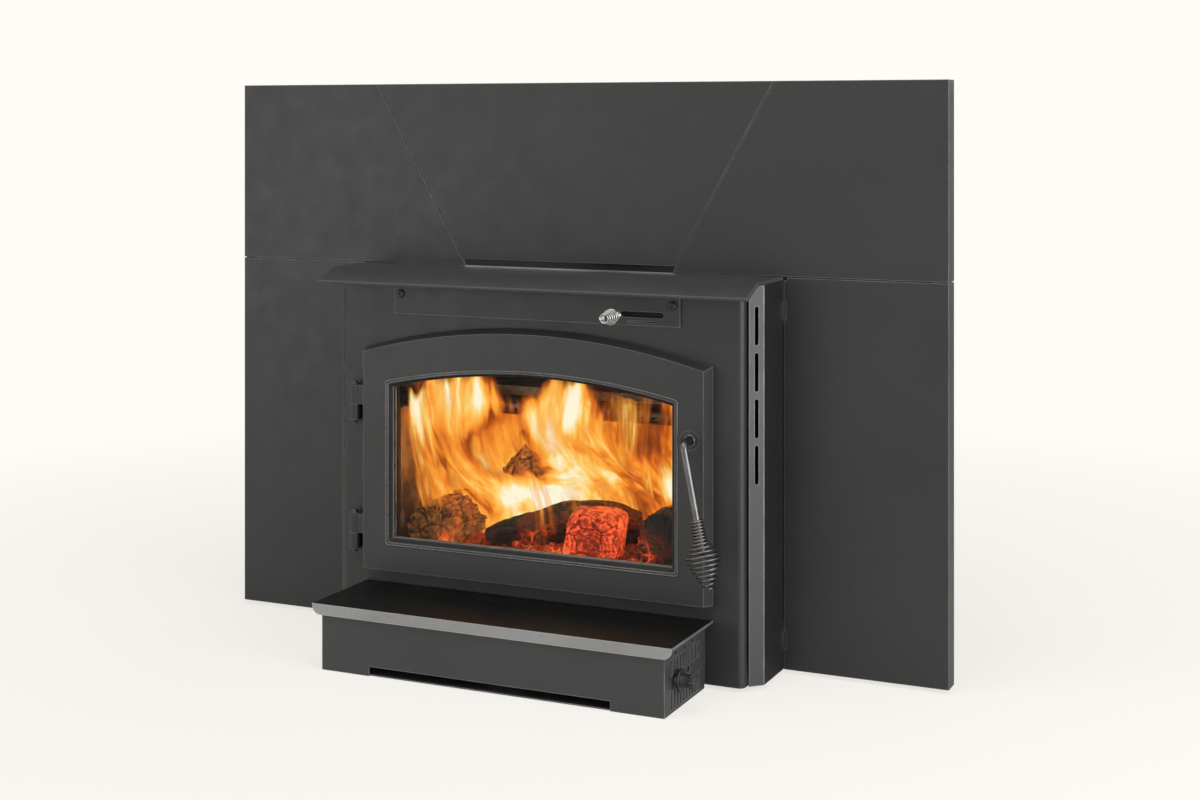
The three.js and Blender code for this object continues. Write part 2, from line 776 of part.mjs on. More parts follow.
// a 45 degree plate at each front corner, pierced by a column of slots
function makeCornerVents() {
  const x0 = bodyHalf - ventLeg;
  const inward = casingSheet * Math.SQRT1_2;
  const plan = outline([
    [x0, ventFront], [bodyHalf, casingFront], [bodyHalf - 2 * inward, casingFront],
    [x0 - inward, ventFront + inward],
  ]);
  const slots = Array.from({ length: ventSlotCount }, (_, i) => {
    const z = hoodTop - ventSlotDrop - ventSlotLength / 2 - i * ventSlotPitch;
    const shape = roundSlot(0, z, ventSlotLength / 2, ventSlotWidth / 2, true);
    const slot = plateXZ(shape, -casingSheet - past, casingSheet + past, 5);
    return slot.rotateZ(Math.PI / 4).translate((x0 + bodyHalf) / 2, (ventFront + casingFront) / 2, 0);
  });
  addPair('corner_vent', geometryOf(cut(solid(plateXY(plan, standOff, casingTop)), ...slots)), charcoalPaint);
}

// height of the hood's sloping lower face above a place in front of its bend
function lipUnderAt(y) {
  return hoodTop - (hoodBend - y) * Math.tan(hoodLipAngle) - hoodPlate / Math.cos(hoodLipAngle);
}

function makeHood() {
  const sin = Math.sin(hoodLipAngle);
  const cos = Math.cos(hoodLipAngle);
  const innerBend = hoodBend + hoodPlate * Math.tan(hoodLipAngle / 2);
  const lipEnd = hoodBend - hoodLip * cos;
  const profile = outline([
    [0, hoodTop], [hoodBend, hoodTop], [lipEnd, hoodTop - hoodLipHeight],
    [lipEnd + hoodPlate * sin, hoodTop - hoodLipHeight - hoodPlate * cos],
    [innerBend, hoodUnder], [0, hoodUnder],
  ]);
  add('hood_plate', plateYZ(profile, -bodyHalf, bodyHalf), charcoalPaint);
}

function makeFacade() {
  const r = facadeCorner;
  const inner = r - facadeSheet;
  const back = facadeFront + facadeReturn;
  const plan = new THREE.Shape();
  plan.moveTo(-facadeHalf, back);
  plan.absarc(-facadeHalf + r, facadeFront + r, r, Math.PI, 1.5 * Math.PI, false);
  plan.absarc(facadeHalf - r, facadeFront + r, r, 1.5 * Math.PI, 2 * Math.PI, false);
  plan.lineTo(facadeHalf, back);
  plan.lineTo(facadeHalf - facadeSheet, back);
  plan.absarc(facadeHalf - r, facadeFront + r, inner, 2 * Math.PI, 1.5 * Math.PI, true);
  plan.absarc(-facadeHalf + r, facadeFront + r, inner, 1.5 * Math.PI, Math.PI, true);
  plan.lineTo(-facadeHalf + facadeSheet, back);
  const tabTop = lipUnderAt(facadeFront) - fit;
  const sheet = solid(plateXY(plan, standOff, tabTop));
  const through = [facadeFront - past, facadeBack + past];
  const clearTop = block(
    -facadeHalf + hoodTab, facadeHalf - hoodTab, ...through, facadeTop, tabTop + past,
  );
  const returnTops = [-facadeHalf, facadeHalf].map((x) => block(
    x - r - past, x + r + past, facadeFront + r, back + past, facadeTop, tabTop + past,
  ));
  const slide = slideSlot(slideFacadeRelief);
  const doorway = grown(doorArch, -facadeReveal);
  add('facade_plate', geometryOf(cut(
    sheet, clearTop, ...returnTops,
    archPrism(doorway, ...through),
    plateXZ(rectangle(-ductHalfWidth, ductHalfWidth, ductBottom, ductTop), ...through),
    plateXZ(slide, ...through),
  )), charcoalPaint);
}

// the slot that the air control's rod slides in, with a relief around it
function slideSlot(relief) {
  const middle = (slideSlotStart + slideSlotEnd) / 2;
  const half = (slideSlotEnd - slideSlotStart) / 2 + relief;
  return roundSlot(middle, slideHeight, half, slideSlotHalf + relief, false);
}

const doorArch = arch(doorHalf, doorBottom, doorCorner, doorCrown);
const windowArch = arch(windowHalf, windowBottom, windowCorner, windowCrown);

// ---------------------------------------------------------------- firebox

function makeFirebox() {
  const shell = joined(
    block(-fireboxHalf, fireboxHalf, flangeBack - past, fireboxRear, fireboxFloor, fireboxTop),
    block(-flangeHalf, flangeHalf, flangeFront, flangeBack, standOff, fireboxTop),
    block(-fireboxHalf, -fireboxInner, flangeBack - past, fireboxRear, standOff, fireboxTop),
    block(fireboxInner, fireboxHalf, flangeBack - past, fireboxRear, standOff, fireboxTop),
  );
  const wall = fireboxWall;
  const hollow = block(
    -fireboxInner, fireboxInner, flangeBack, fireboxRear - wall, fireboxFloor + wall, fireboxTop - wall,
  );
  const through = [flangeFront - past, flangeBack + past];
  const mouth = archPrism(grown(windowArch, fireboxMouth), ...through);
  const latchHole = block(
    latchHoleLeft, latchHoleRight, ...through, pivotHeight - latchHoleHalf, pivotHeight + latchHoleHalf,
  );
  const duct = block(-ductHalfWidth, ductHalfWidth, ...through, ductBottom, ductTop);
  const flueHole = flueRadius - 2 * flueWall;
  const flue = cylinderZ(fireboxTop - wall - past, fireboxTop + past, 0, flueCentre, flueHole, 32);
  add('firebox_shell', geometryOf(cut(shell, hollow, mouth, latchHole, duct, flue)), blackPaint);
  makeLatchKeeper();
  makeFlueCollar();
  makeBricks();
  makeAirTubes();
}

// a welded cup behind the latch hole, in which the pawl turns
function makeLatchKeeper() {
  const front = flangeBack + fit;
  const right = fireboxInner - fit;
  const left = latchHoleLeft - keeperWall - latchClearance;
  const z0 = pivotHeight - keeperHalf;
  const z1 = pivotHeight + keeperHalf;
  const cup = cut(
    solid(block(left, right, front, keeperBack, z0, z1)),
    block(left + keeperWall, right - keeperWall, front - past, keeperBack - keeperWall,
      z0 + keeperWall, z1 - keeperWall),
  );
  add('latch_keeper', geometryOf(cup), blackPaint);
}

function makeFlueCollar() {
  const base = fireboxTop + fit;
  const inner = flueRadius - flueWall;
  const flange = flueRadius + flueFlange;
  const top = hoodTop + collarHeight;
  const profile = [
    [inner, base], [flange, base], [flange, base + flueWall], [flueRadius, base + flueWall],
    [flueRadius, top], [inner, top], [inner, base],
  ].map(([r, z]) => new THREE.Vector2(r, z));
  const collar = new THREE.LatheGeometry(profile, 32).rotateX(Math.PI / 2).scale(1, -1, 1);
  collar.setIndex(turned([...collar.index.array]));
  add('flue_collar', geometryOf(solid(collar.translate(0, flueCentre, 0))), blackPaint);
}

function makeBricks() {
  const inner = brickFace - fit;
  const floorBack = brickRearFace - fit;
  const joint = brickJoint / 2;
  const across = [];
  for (let x = brickWidth / 2; x < inner; x += brickWidth) across.push(-x, x);

  const floor = solid(block(-inner, inner, brickFront, floorBack, brickBase, hearth));
  const floorJoints = across.map((x) => block(
    x - joint, x + joint, brickFront - past, floorBack + past, hearth - joint, hearth + past,
  ));
  add('firebrick_floor', geometryOf(cut(floor, ...floorJoints)), firebrick);

  const back = solid(block(-inner, inner, brickRearFace, brickRear, brickBase, brickTop));
  const rearJoints = across.map((x) => block(
    x - joint, x + joint, brickRearFace - past, brickRearFace + joint, brickBase - past, brickTop + past,
  ));
  add('firebrick_rear', geometryOf(cut(back, ...rearJoints)), firebrick);

  const side = solid(block(brickFace, fireboxInner - fit, brickFront, brickRear, brickBase, brickTop));
  const sideJoints = [];
  for (let y = brickFront + brickWidth; y < brickRear - brickWidth / 2; y += brickWidth) {
    sideJoints.push(block(
      brickFace - past, brickFace + joint, y - joint, y + joint, brickBase - past, brickTop + past,
    ));
  }
  addPair('firebrick', geometryOf(cut(side, ...sideJoints)), firebrick);
}

// air tubes across the top of the fire, with the baffle board lying on them
function makeAirTubes() {
  const end = fireboxInner - fit;
  for (let i = 0; i < tubeCount; i += 1) {
    const y = flangeBack + tubeSetback + i * tubePitch;
    const ring = disc(y, tubeTop - tubeRadius, tubeRadius);
    ring.holes = [disc(y, tubeTop - tubeRadius, tubeRadius - tubeWall)];
    add(`air_tube_${i + 1}`, plateYZ(ring, -end, end, 10), stainless);
  }
  const board = tubeTop + fit;
  add('baffle_board', block(
    -end, end, flangeBack + baffleSetback, brickRear, board, board + baffleThickness,
  ), vermiculite);
}

// ---------------------------------------------------------------- door

function makeDoor() {
  const front = grown(doorArch, -doorDraft, -doorDraftBottom);
  const lipBack = doorFront + windowLip;
  const windowFront = grown(windowArch, windowBevel, windowBevelBottom, windowBevelTop);
  const rebate = grown(windowArch, glassOverlap + rebatePlay);
  const grooveIn = grown(windowArch, ropeStart);
  const grooveOut = grown(windowArch, ropeStart + ropeWidth + 2 * fit);
  const groove = cut(
    solid(archPrism(grooveOut, doorBack - ropeGrooveDepth, doorBack + past)),
    archPrism(grooveIn, doorBack - ropeGrooveDepth - past, doorBack + 2 * past),
  );
  const bushHole = cylinderY(doorFront - past, doorBack + past, pivotX, pivotHeight, bushRadius + fit, 28);
  const recess = cylinderY(
    doorFront - past, doorFront + bushRecessDepth, pivotX, pivotHeight, bushRecessRadius, 28,
  );
  const ahead = past / 2; // the bevel's cutter starts this far ahead of the door, and as much wider
  const frame = cut(
    solid(archLoft(front, doorFront, doorArch, doorBack)),
    archLoft(grown(windowFront, ahead), doorFront - ahead, windowArch, lipBack + bevelLap),
    archPrism(windowArch, doorFront - past, doorBack + past),
    archPrism(rebate, lipBack, doorBack + past),
    bushHole, recess,
  ).subtract(groove);
  add('door_frame', geometryOf(frame), castPaint);

  const tape = lipBack + fit;
  const glass = tape + glassTape + fit;
  const retainer = glassBack + fit;
  add('glass_gasket', archRing(tapeInset, glassOverlap, tape, tape + glassTape), glassRope);
  add('door_glass', archPrism(grown(windowArch, glassOverlap), glass, glassBack), ceramicGlass);
  add('glass_retainer', archRing(
    tapeInset, glassOverlap + rebatePlay - fit, retainer, retainer + retainerThickness,
  ), galvanised);
  add('door_rope_gasket', archRing(
    ropeStart + fit, ropeStart + fit + ropeWidth, doorBack - ropeGrooveDepth + fit, flangeFront - fit,
  ), glassRope);
}

// a flat ring that follows the window, from one offset to another
function archRing(inner, outer, y0, y1) {
  const ring = outline(archPoints(grown(windowArch, outer)));
  ring.holes = [outline(archPoints(grown(windowArch, inner)))];
  return plateXZ(ring, y0, y1);
}

// ---------------------------------------------------------------- hinges

function makeHinges() {
  const edge = (y) => -doorHalf + (doorDraft * (doorBack - y)) / doorThickness;
  const names = ['lower', 'upper'];
  hingeHeights.forEach((z0, i) => {
    const doorZ = z0 + hingeBodyBarrel + fit;
    const doorTop = doorZ + hingeDoorBarrel;
    const bore = cylinderZ(z0 - past, doorTop + past, hingeX, hingeY, hingeBore, 20);

    const foot = block(
      hingeX - hingeWeb / 2, hingeX + hingeWeb / 2, hingeY, facadeFront - fit, z0, z0 + hingeBodyBarrel,
    );
    const bodyBarrel = cylinderZ(z0, z0 + hingeBodyBarrel, hingeX, hingeY, hingeRadius);
    add(`hinge_bracket_${names[i]}`, geometryOf(cut(joined(bodyBarrel, foot), bore)), castPaint);

    const y0 = hingeY + hingeWebSetback - hingeWeb / 2;
    const y1 = hingeY + hingeWebSetback + hingeWeb / 2;
    const web = outline([
      [hingeX, y0], [edge(y0) - fit, y0], [edge(y1) - fit, y1], [hingeX, y1],
    ]);
    const doorBarrel = cylinderZ(doorZ, doorTop, hingeX, hingeY, hingeRadius);
    const knuckle = cut(joined(doorBarrel, plateXY(web, doorZ, doorTop)), bore);
    add(`door_hinge_${names[i]}`, geometryOf(knuckle), castPaint);

    const seat = doorTop + fit;
    const tail = z0 - pinTail;
    const round = hingePinRadius / 2; // of the pin's lower end
    const dome = [0, 30, 60].map((degrees) => {
      const angle = THREE.MathUtils.degToRad(degrees);
      return [pinDomeRadius * Math.cos(angle), seat + pinDomeHeight * Math.sin(angle)];
    });
    const profile = [[0, tail - round], [hingePinRadius - round / 2, tail - round], [hingePinRadius, tail],
      [hingePinRadius, seat], ...dome, [0, seat + pinDomeHeight]];
    add(`hinge_pin_${names[i]}`, turnedZ(profile, hingeX, hingeY, 20), castPaint);
  });
}

// a lathed piece standing on +Z; its profile starts and ends on the axis
function turnedZ(profile, x, y, segments) {
  const points = profile.map(([radius, z]) => new THREE.Vector2(radius, z));
  const lathe = new THREE.LatheGeometry(points, segments).rotateX(Math.PI / 2);
  return geometryOf(solid(lathe.translate(x, y, 0)));
}

// ---------------------------------------------------------------- handle and latch

const bendPoint = new THREE.Vector3(pivotX, rodY, pivotHeight);
const gripAxis = new THREE.Vector3(handleLeanSide, -handleLeanOut, -handleDrop).normalize();

function makeHandle() {
  const tail = new THREE.Vector3(pivotX, rodEnd, pivotHeight);
  const bendStart = new THREE.Vector3(pivotX, rodY + handleBend, pivotHeight);
  const bendEnd = bendPoint.clone().addScaledVector(gripAxis, handleBend);
  const tip = bendPoint.clone().addScaledVector(gripAxis, gripStart + gripRodLength);
  const route = new THREE.CurvePath();
  route.add(new THREE.LineCurve3(tail, bendStart));
  route.add(new THREE.QuadraticBezierCurve3(bendStart, bendPoint, bendEnd));
  route.add(new THREE.LineCurve3(bendEnd, tip));
  const rod = new THREE.ExtrudeGeometry(disc(0, 0, handleRodRadius), {
    steps: rodSteps, curveSegments: 6, extrudePath: route,
  });
  add('handle_rod', rod, dullSteel);

  const bush = disc(pivotX, pivotHeight, bushRadius);
  bush.holes = [disc(pivotX, pivotHeight, rodBore)];
  add('handle_bush', plateXZ(bush, doorFront - bushProud, doorBack, 14), dullSteel);

  const pawl = new THREE.Shape();
  const noseAngle = Math.asin(pawlNoseHalf / pawlHub);
  const shoulder = pivotX + pawlReach - pawlNoseCorner / 2;
  const noseEnd = pawlNoseHalf - pawlNoseCorner;
  pawl.absarc(pivotX, pivotHeight, pawlHub, noseAngle, 2 * Math.PI - noseAngle, false);
  pawl.lineTo(shoulder, pivotHeight - pawlNoseHalf);
  pawl.lineTo(pivotX + pawlReach, pivotHeight - noseEnd);
  pawl.lineTo(pivotX + pawlReach, pivotHeight + noseEnd);
  pawl.lineTo(shoulder, pivotHeight + pawlNoseHalf);
  pawl.holes = [disc(pivotX, pivotHeight, rodBore)];
  add('latch_pawl', plateXZ(pawl, pawlFront, pawlFront + pawlThickness, 14), galvanised);
}

function makeGripCoil() {
  const neck = neckRadius(handleRodRadius, gripWire);
  const evenTurns = gripTightTurns + gripEaseTurns / 2;
  const loosePitch = (gripLength - gripPitch * evenTurns) / (gripTurns - evenTurns);
  const riseAt = (share) => {
    const turn = share * gripTurns;
    const easing = THREE.MathUtils.clamp(turn - gripTightTurns, 0, gripEaseTurns);
    const loose = Math.max(0, turn - gripTightTurns - gripEaseTurns);
    const widened = (easing * easing) / (2 * gripEaseTurns) + loose;
    return gripPitch * turn + (loosePitch - gripPitch) * widened;
  };
  const radiusAt = (share) => {
    const along = riseAt(share);
    const swell = ease(along, gripNeckLength, gripBellyLength);
    const taper = THREE.MathUtils.clamp((along - gripBellyLength) / (gripLength - gripBellyLength), 0, 1);
    const narrow = THREE.MathUtils.lerp(taper, taper * taper, gripTaperBow);
    return neck + swell * (gripBulgeRadius - neck) - narrow * (gripBulgeRadius - gripEndRadius);
  };
  const grip = new THREE.Group();
  const coil = windCoil('handle_coil_grip', gripTurns, gripWire, radiusAt, riseAt);
  grip.position.copy(bendPoint).addScaledVector(gripAxis, gripStart);
  grip.quaternion.setFromUnitVectors(new THREE.Vector3(0, 0, 1), gripAxis);
  add('handle_coil_grip', coil, dullSteel, grip);
  surroundFrame.add(grip);
}

// ---------------------------------------------------------------- air control

function makeAirControl() {
  const wedgeStart = slideSlotStart + wedgeInset;
  const wedgeEnd = wedgeStart + wedgeLength;
  const wedgeHeight = coverBottom + wedgeRise;
  const wedge = outline([
    [wedgeStart, wedgeHeight - wedgeNarrow / 2], [wedgeEnd, wedgeHeight - wedgeWide / 2],
    [wedgeEnd, wedgeHeight + wedgeWide / 2], [wedgeStart, wedgeHeight + wedgeNarrow / 2],
  ]);
  const face = rectangle(-coverHalf, coverHalf, coverBottom, facadeTop);
  face.holes = [slideSlot(0), wedge];
  add('air_cover', plateXZ(face, coverFront, coverFront + coverThickness, 8), charcoalPaint);

  const screwBack = coverFront - fit;
  addPair('air_cover_screw', cylinderY(
    screwBack - coverScrewHead, screwBack, coverHalf - coverScrewInset, facadeTop - coverScrewDrop,
    coverScrewRadius, 20,
  ), blackPlastic);

  const plateFront = facadeBack + fit;
  const plateBack = plateFront + slidePlateThickness;
  const plate = block(
    slideRodX - slidePlateHalf, slideRodX + slidePlateHalf, plateFront, plateBack,
    fireboxTop + fit, fireboxTop + fit + slidePlateHeight,
  );
  const knobBase = coverFront - knobStart;
  const rodTip = knobBase - knobNeckLength - knobRodInset;
  const rodRoot = plateBack - slidePlateThickness / 4;
  const rod = cylinderY(rodTip, rodRoot, slideRodX, slideHeight, slideRodRadius, 16);
  add('air_control_slide', geometryOf(joined(plate, rod)), blackPaint);
  makeKnobCoil(knobBase);
}

function makeKnobCoil(knobBase) {
  const neck = neckRadius(slideRodRadius, knobWire);
  const flared = knobNeckLength + knobFlareLength;
  const flaredTurns = knobNeckTurns + knobFlareTurns;
  const conePitch = (knobLength - flared) / (knobTurns - flaredTurns);
  const riseAt = (share) => {
    const turn = share * knobTurns;
    const inNeck = Math.min(turn, knobNeckTurns) / knobNeckTurns;
    const inFlare = THREE.MathUtils.clamp(turn - knobNeckTurns, 0, knobFlareTurns) / knobFlareTurns;
    const inCone = Math.max(0, turn - flaredTurns);
    return inNeck * knobNeckLength + inFlare * knobFlareLength + inCone * conePitch;
  };
  const radiusAt = (share) => {
    const along = riseAt(share);
    const swell = ease(along, knobNeckLength, flared);
    const taper = THREE.MathUtils.clamp((along - flared) / (knobLength - flared), 0, 1);
    return neck + swell * (knobBellyRadius - neck) - taper * (knobBellyRadius - knobTipRadius);
  };
  const knob = new THREE.Group();
  const coil = windCoil('air_control_knob', knobTurns, knobWire, radiusAt, riseAt);
  knob.position.set(slideRodX, knobBase, slideHeight);
  knob.rotation.x = Math.PI / 2;
  add('air_control_knob', coil, chrome, knob);
  surroundFrame.add(knob);
}

// ---------------------------------------------------------------- ash shelf and blower

function makeShelf() {
  const half = shelfHalf;
  const top = block(-half, half, shelfFront, facadeFront - fit, shelfHeight - shelfSheet, shelfHeight);
  const lip = new THREE.Shape();
  const bottom = shelfHeight - shelfFlange;
  lip.moveTo(-half, shelfHeight);
  lip.absarc(-half + shelfCorner, bottom + shelfCorner, shelfCorner, Math.PI, 1.5 * Math.PI, false);
  lip.absarc(half - shelfCorner, bottom + shelfCorner, shelfCorner, 1.5 * Math.PI, 2 * Math.PI, false);
  lip.lineTo(half, shelfHeight);
  const flange = plateXZ(lip, shelfFront, shelfFront + shelfSheet);
  add('ash_shelf', geometryOf(joined(top, flange)), charcoalPaint);
}

// two rows of upright slots in a side wall of the box, which spans x0 to x1
function grilleCuts(x0, x1, without) {
  const lowRow = grilleLowRow;
  const highRow = grilleHighRow.map((drop) => boxTop - drop);
  const cuts = [];
  for (let i = 0; i < grilleCount; i += 1) {
    const y = boxFront + grilleStart + i * grillePitch;
    for (const row of without.includes(i) ? [lowRow] : [lowRow, highRow]) {
      cuts.push(plateYZ(rectangle(y - grilleSlot / 2, y + grilleSlot / 2, ...row), x0, x1));
    }
  }
  return cuts;
}

function makeBlowerBox() {
  const s = boxSheet;
  const right = [boxHalf - s - past, boxHalf + past];
  const left = [-boxHalf - past, -boxHalf + s + past];
  const intakeHalf = boxHalf - intakeMargin;
  const keyholeY = boxFront + keyholeOffset;
  const keyholeHeight = boxTop - keyholeDrop;
  const slit = rectangle(
    keyholeY - keyholeSlit / 2, keyholeY + keyholeSlit / 2, keyholeHeight, boxTop - keyholeSlitDrop,
  );
  const box = cut(
    solid(block(-boxHalf, boxHalf, boxFront, boxBack, 0, boxTop)),
    block(-boxHalf + s, boxHalf - s, boxFront + s, boxBack + past, s, boxTop + past),
    block(-intakeHalf, intakeHalf, boxFront - past, boxFront + s + past, -past, intakeHeight),
    ...grilleCuts(...right, keyholeSlots),
    ...grilleCuts(...left, []),
    plateYZ(disc(keyholeY, keyholeHeight, keyholeRadius), ...right, 5),
    plateYZ(slit, ...right),
    ...ovalHoles.map(([offset, drop]) => plateYZ(
      roundSlot(boxFront + offset, boxTop - drop, ovalHalfLength, ovalHalfHeight, false), ...right, 4,
    )),
    plateYZ(disc(speedY, speedHeight, speedBushRadius + fit), ...right, 6),
  );
  add('blower_box', geometryOf(box), charcoalPaint);
}

function makeBlower() {
  const foot = block(
    -motorFootHalf, motorFootHalf, motorY - motorFootSpread, motorY + motorFootSpread,
    boxSheet + fit, motorHeight,
  );
  const can = cylinderX(-motorHalfLength, motorHalfLength, motorY, motorHeight, motorRadius, 28);
  const bore = cylinderX(
    -motorHalfLength - past, motorHalfLength + past, motorY, motorHeight, shaftRadius + motorBore, 16,
  );
  add('blower_motor', geometryOf(cut(joined(can, foot), bore)), galvanised);

  const start = motorHalfLength + wheelGap;
  const end = start + wheelLength;
  const plate = disc(motorY, motorHeight, wheelRadius);
  const ring = disc(motorY, motorHeight, wheelRadius);
  ring.holes = [disc(motorY, motorHeight, wheelRadius - bladeDepth)];
  const wheel = [plateYZ(plate, start, start + wheelPlate), plateYZ(ring, end - wheelPlate, end)];
  for (let blade = 0; blade < bladeCount; blade += 1) {
    const fin = block(
      start + past, end - past, -bladeThickness / 2, bladeThickness / 2,
      wheelRadius - bladeDepth, wheelRadius - past,
    );
    wheel.push(fin.rotateX((2 * Math.PI * blade) / bladeCount).translate(0, motorY, motorHeight));
  }
  const shaft = cylinderX(-end, end, motorY, motorHeight, shaftRadius, 16);
  add('blower_rotor', geometryOf(joined(shaft, ...wheel, ...wheel.map(mirroredX))), galvanised);
}

function makeSpeedControl() {
  const wallInner = boxHalf - boxSheet;
  const bodyEnd = wallInner - fit;
  const knobStartX = boxHalf + speedKnobGap;
  const neckStart = knobStartX + speedKnobDiscThickness;
  const gripStartX = neckStart + speedKnobNeckLength;
  const control = joined(
    block(bodyEnd - speedBodyDepth, bodyEnd, speedY - speedBodyHalf, speedY + speedBodyHalf,
      speedHeight - speedBodyHalf, speedHeight + speedBodyHalf),
    cylinderX(bodyEnd - past, boxHalf + speedBushProud, speedY, speedHeight, speedBushRadius, 20),
    cylinderX(boxHalf, gripStartX, speedY, speedHeight, speedShaftRadius, 16),
  );
  add('speed_control', geometryOf(control), galvanised);
  const knob = cut(
    joined(
      cylinderX(knobStartX, neckStart, speedY, speedHeight, speedKnobDisc, 32),
      cylinderX(neckStart - past, gripStartX + past, speedY, speedHeight, speedKnobNeck, 28),
      cylinderX(gripStartX, gripStartX + speedKnobGripLength, speedY, speedHeight, speedKnobGrip, 28),
    ),
    cylinderX(knobStartX - past, gripStartX + fit, speedY, speedHeight, speedShaftRadius + fit, 16),
  );
  add('speed_knob', geometryOf(knob), blackPlastic);
}

function makeLevellingBolts() {
  const y = bodyDepth - boltSetback;
  const x = fireboxInner - fit - boltRadius;
  const bolt = geometryOf(joined(
    cylinderZ(0, standOff - fit, x, y, boltPadRadius, 20),
    cylinderZ(0, boltLength, x, y, boltRadius, 12),
  ));
  addPair('levelling_bolt', bolt, galvanised);
}

// ---------------------------------------------------------------- firewood

// Each log: the middles of its two ends, its radius at each end and how strongly it is split flat.
const firewood = [
  ['log_left', [-178, -52, 0], [-176, 150, 0], 40, 36, 0.1, charredWood],
  ['log_front', [-114, -14, 0], [80, 76, 14], 40, 45, 0.14, charredWood],
  ['log_ember', [64, -58, 0], [54, -2, 0], 42, 36, 0.16, glowingWood],
  ['log_right', [166, -54, 0], [168, 70, 0], 48, 44, 0.08, charredWood],
  ['log_leaning', [38, 215, 0], [-112, 68, 92], 36, 38, 0.18, charredWood],
];

function makeFirewood() {
  const hearthMiddle = (brickFront + brickRearFace) / 2;
  const pile = new THREE.Group();
  pile.scale.set(brickFace / woodHalfWidth, (brickRearFace - brickFront) / woodDepth, 1);
  pile.position.y = hearthMiddle - woodMiddle * pile.scale.y;
  surroundFrame.add(pile);
  firewood.forEach(([name, from, to, radiusFrom, radiusTo, split, material], number) => {
    const start = new THREE.Vector3(...from);
    const end = new THREE.Vector3(...to);
    const along = end.clone().sub(start).normalize();
    const across = new THREE.Vector3().crossVectors(along, new THREE.Vector3(0, 0, 1)).normalize();
    const up = new THREE.Vector3().crossVectors(across, along);
    const rings = Array.from({ length: logRings }, (_, ring) => {
      const share = ring / (logRings - 1);
      const centre = start.clone().lerp(end, share);
      const radius = THREE.MathUtils.lerp(radiusFrom, radiusTo, share);
      return Array.from({ length: logSides }, (__, side) => {
        const angle = (2 * Math.PI * side) / logSides;
        const bark = 1 - split * (0.5 + 0.5 * Math.cos(logFlats * angle + number + share));
        return centre.clone()
          .addScaledVector(across, radius * bark * Math.cos(angle))
          .addScaledVector(up, radius * bark * Math.sin(angle));
      });
    });
    const log = skin(rings);
    log.computeBoundingBox();
    add(name, log.translate(0, 0, hearth + fit - log.boundingBox.min.z), material, pile);
  });
}

// ---------------------------------------------------------------- assembly

makeSurround();
makeCasing();
makeCornerVents();
makeHood();
makeFacade();
makeFirebox();
makeDoor();
makeHinges();
makeHandle();
makeGripCoil();
makeAirControl();
makeShelf();
makeBlowerBox();
makeBlower();
makeSpeedControl();
makeLevellingBolts();
makeFirewood();

surroundFrame.position.y = -(shelfFront + bodyDepth) / 2;

const group = new THREE.Group();
group.add(surroundFrame);

export default group;
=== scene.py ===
import math
import random

import bmesh
import bpy
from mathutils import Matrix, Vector, noise


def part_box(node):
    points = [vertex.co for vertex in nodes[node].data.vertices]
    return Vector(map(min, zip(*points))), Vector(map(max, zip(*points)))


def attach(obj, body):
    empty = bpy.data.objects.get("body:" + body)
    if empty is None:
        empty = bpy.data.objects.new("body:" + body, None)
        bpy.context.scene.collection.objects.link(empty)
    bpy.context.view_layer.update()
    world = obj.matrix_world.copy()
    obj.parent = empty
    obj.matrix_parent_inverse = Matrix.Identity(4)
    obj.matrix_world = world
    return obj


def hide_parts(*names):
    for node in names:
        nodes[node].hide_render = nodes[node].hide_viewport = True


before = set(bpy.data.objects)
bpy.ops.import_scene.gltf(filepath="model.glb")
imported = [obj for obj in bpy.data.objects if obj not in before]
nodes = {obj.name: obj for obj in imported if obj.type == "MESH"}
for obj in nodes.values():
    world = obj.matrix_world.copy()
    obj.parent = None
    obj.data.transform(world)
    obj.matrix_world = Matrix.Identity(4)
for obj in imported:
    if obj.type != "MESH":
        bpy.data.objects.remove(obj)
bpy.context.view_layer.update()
scene = bpy.context.scene
scene.view_settings.view_transform = "Standard"
MM = 0.001
CREAM = (1.0, 0.975, 0.925, 1.0)


# ---------------------------------------------------------------- shader nodes

class Nodes:
    """Short names for the nodes of a material or a world, which starts without any."""

    def __init__(self, owner):
        owner.use_nodes = True
        self.tree = owner.node_tree
        self.tree.nodes.clear()

    def feed(self, socket, value):
        if isinstance(value, bpy.types.NodeSocket):
            self.tree.links.new(value, socket)
        else:
            socket.default_value = value

    def node(self, kind, inputs=None, **settings):
        made = self.tree.nodes.new("ShaderNode" + kind)
        for key, value in settings.items():
            setattr(made, key, value)
        for key, value in (inputs or {}).items():
            self.feed(made.inputs[key], value)
        return made

    def span(self, value, low, high, to_low=0.0, to_high=1.0):
        return self.node("MapRange", {
            "Value": value, "From Min": low, "From Max": high, "To Min": to_low, "To Max": to_high,
        }).outputs[0]

    def math(self, operation, first, second):
        return self.node("Math", {0: first, 1: second}, operation=operation).outputs[0]

    def times(self, product, *factors):
        for factor in factors:
            product = self.math("MULTIPLY", product, factor)
        return product


# ---------------------------------------------------------------- camera, world, floor and lamps

def make_camera():
    """The photo's camera, solved from its vanishing points and the four corners of the surround."""
    data = bpy.data.cameras.new("camera")
    data.lens = 55.46
    data.sensor_width = 36
    data.shift_y = -0.2353
    data.clip_start, data.clip_end = 0.05, 60
    camera = bpy.data.objects.new("camera", data)
    camera.location = (1.0694, -2.3163, 0.7080)
    camera.rotation_euler = (math.pi / 2, 0, math.radians(24.461))
    scene.collection.objects.link(camera)
    scene.camera = camera


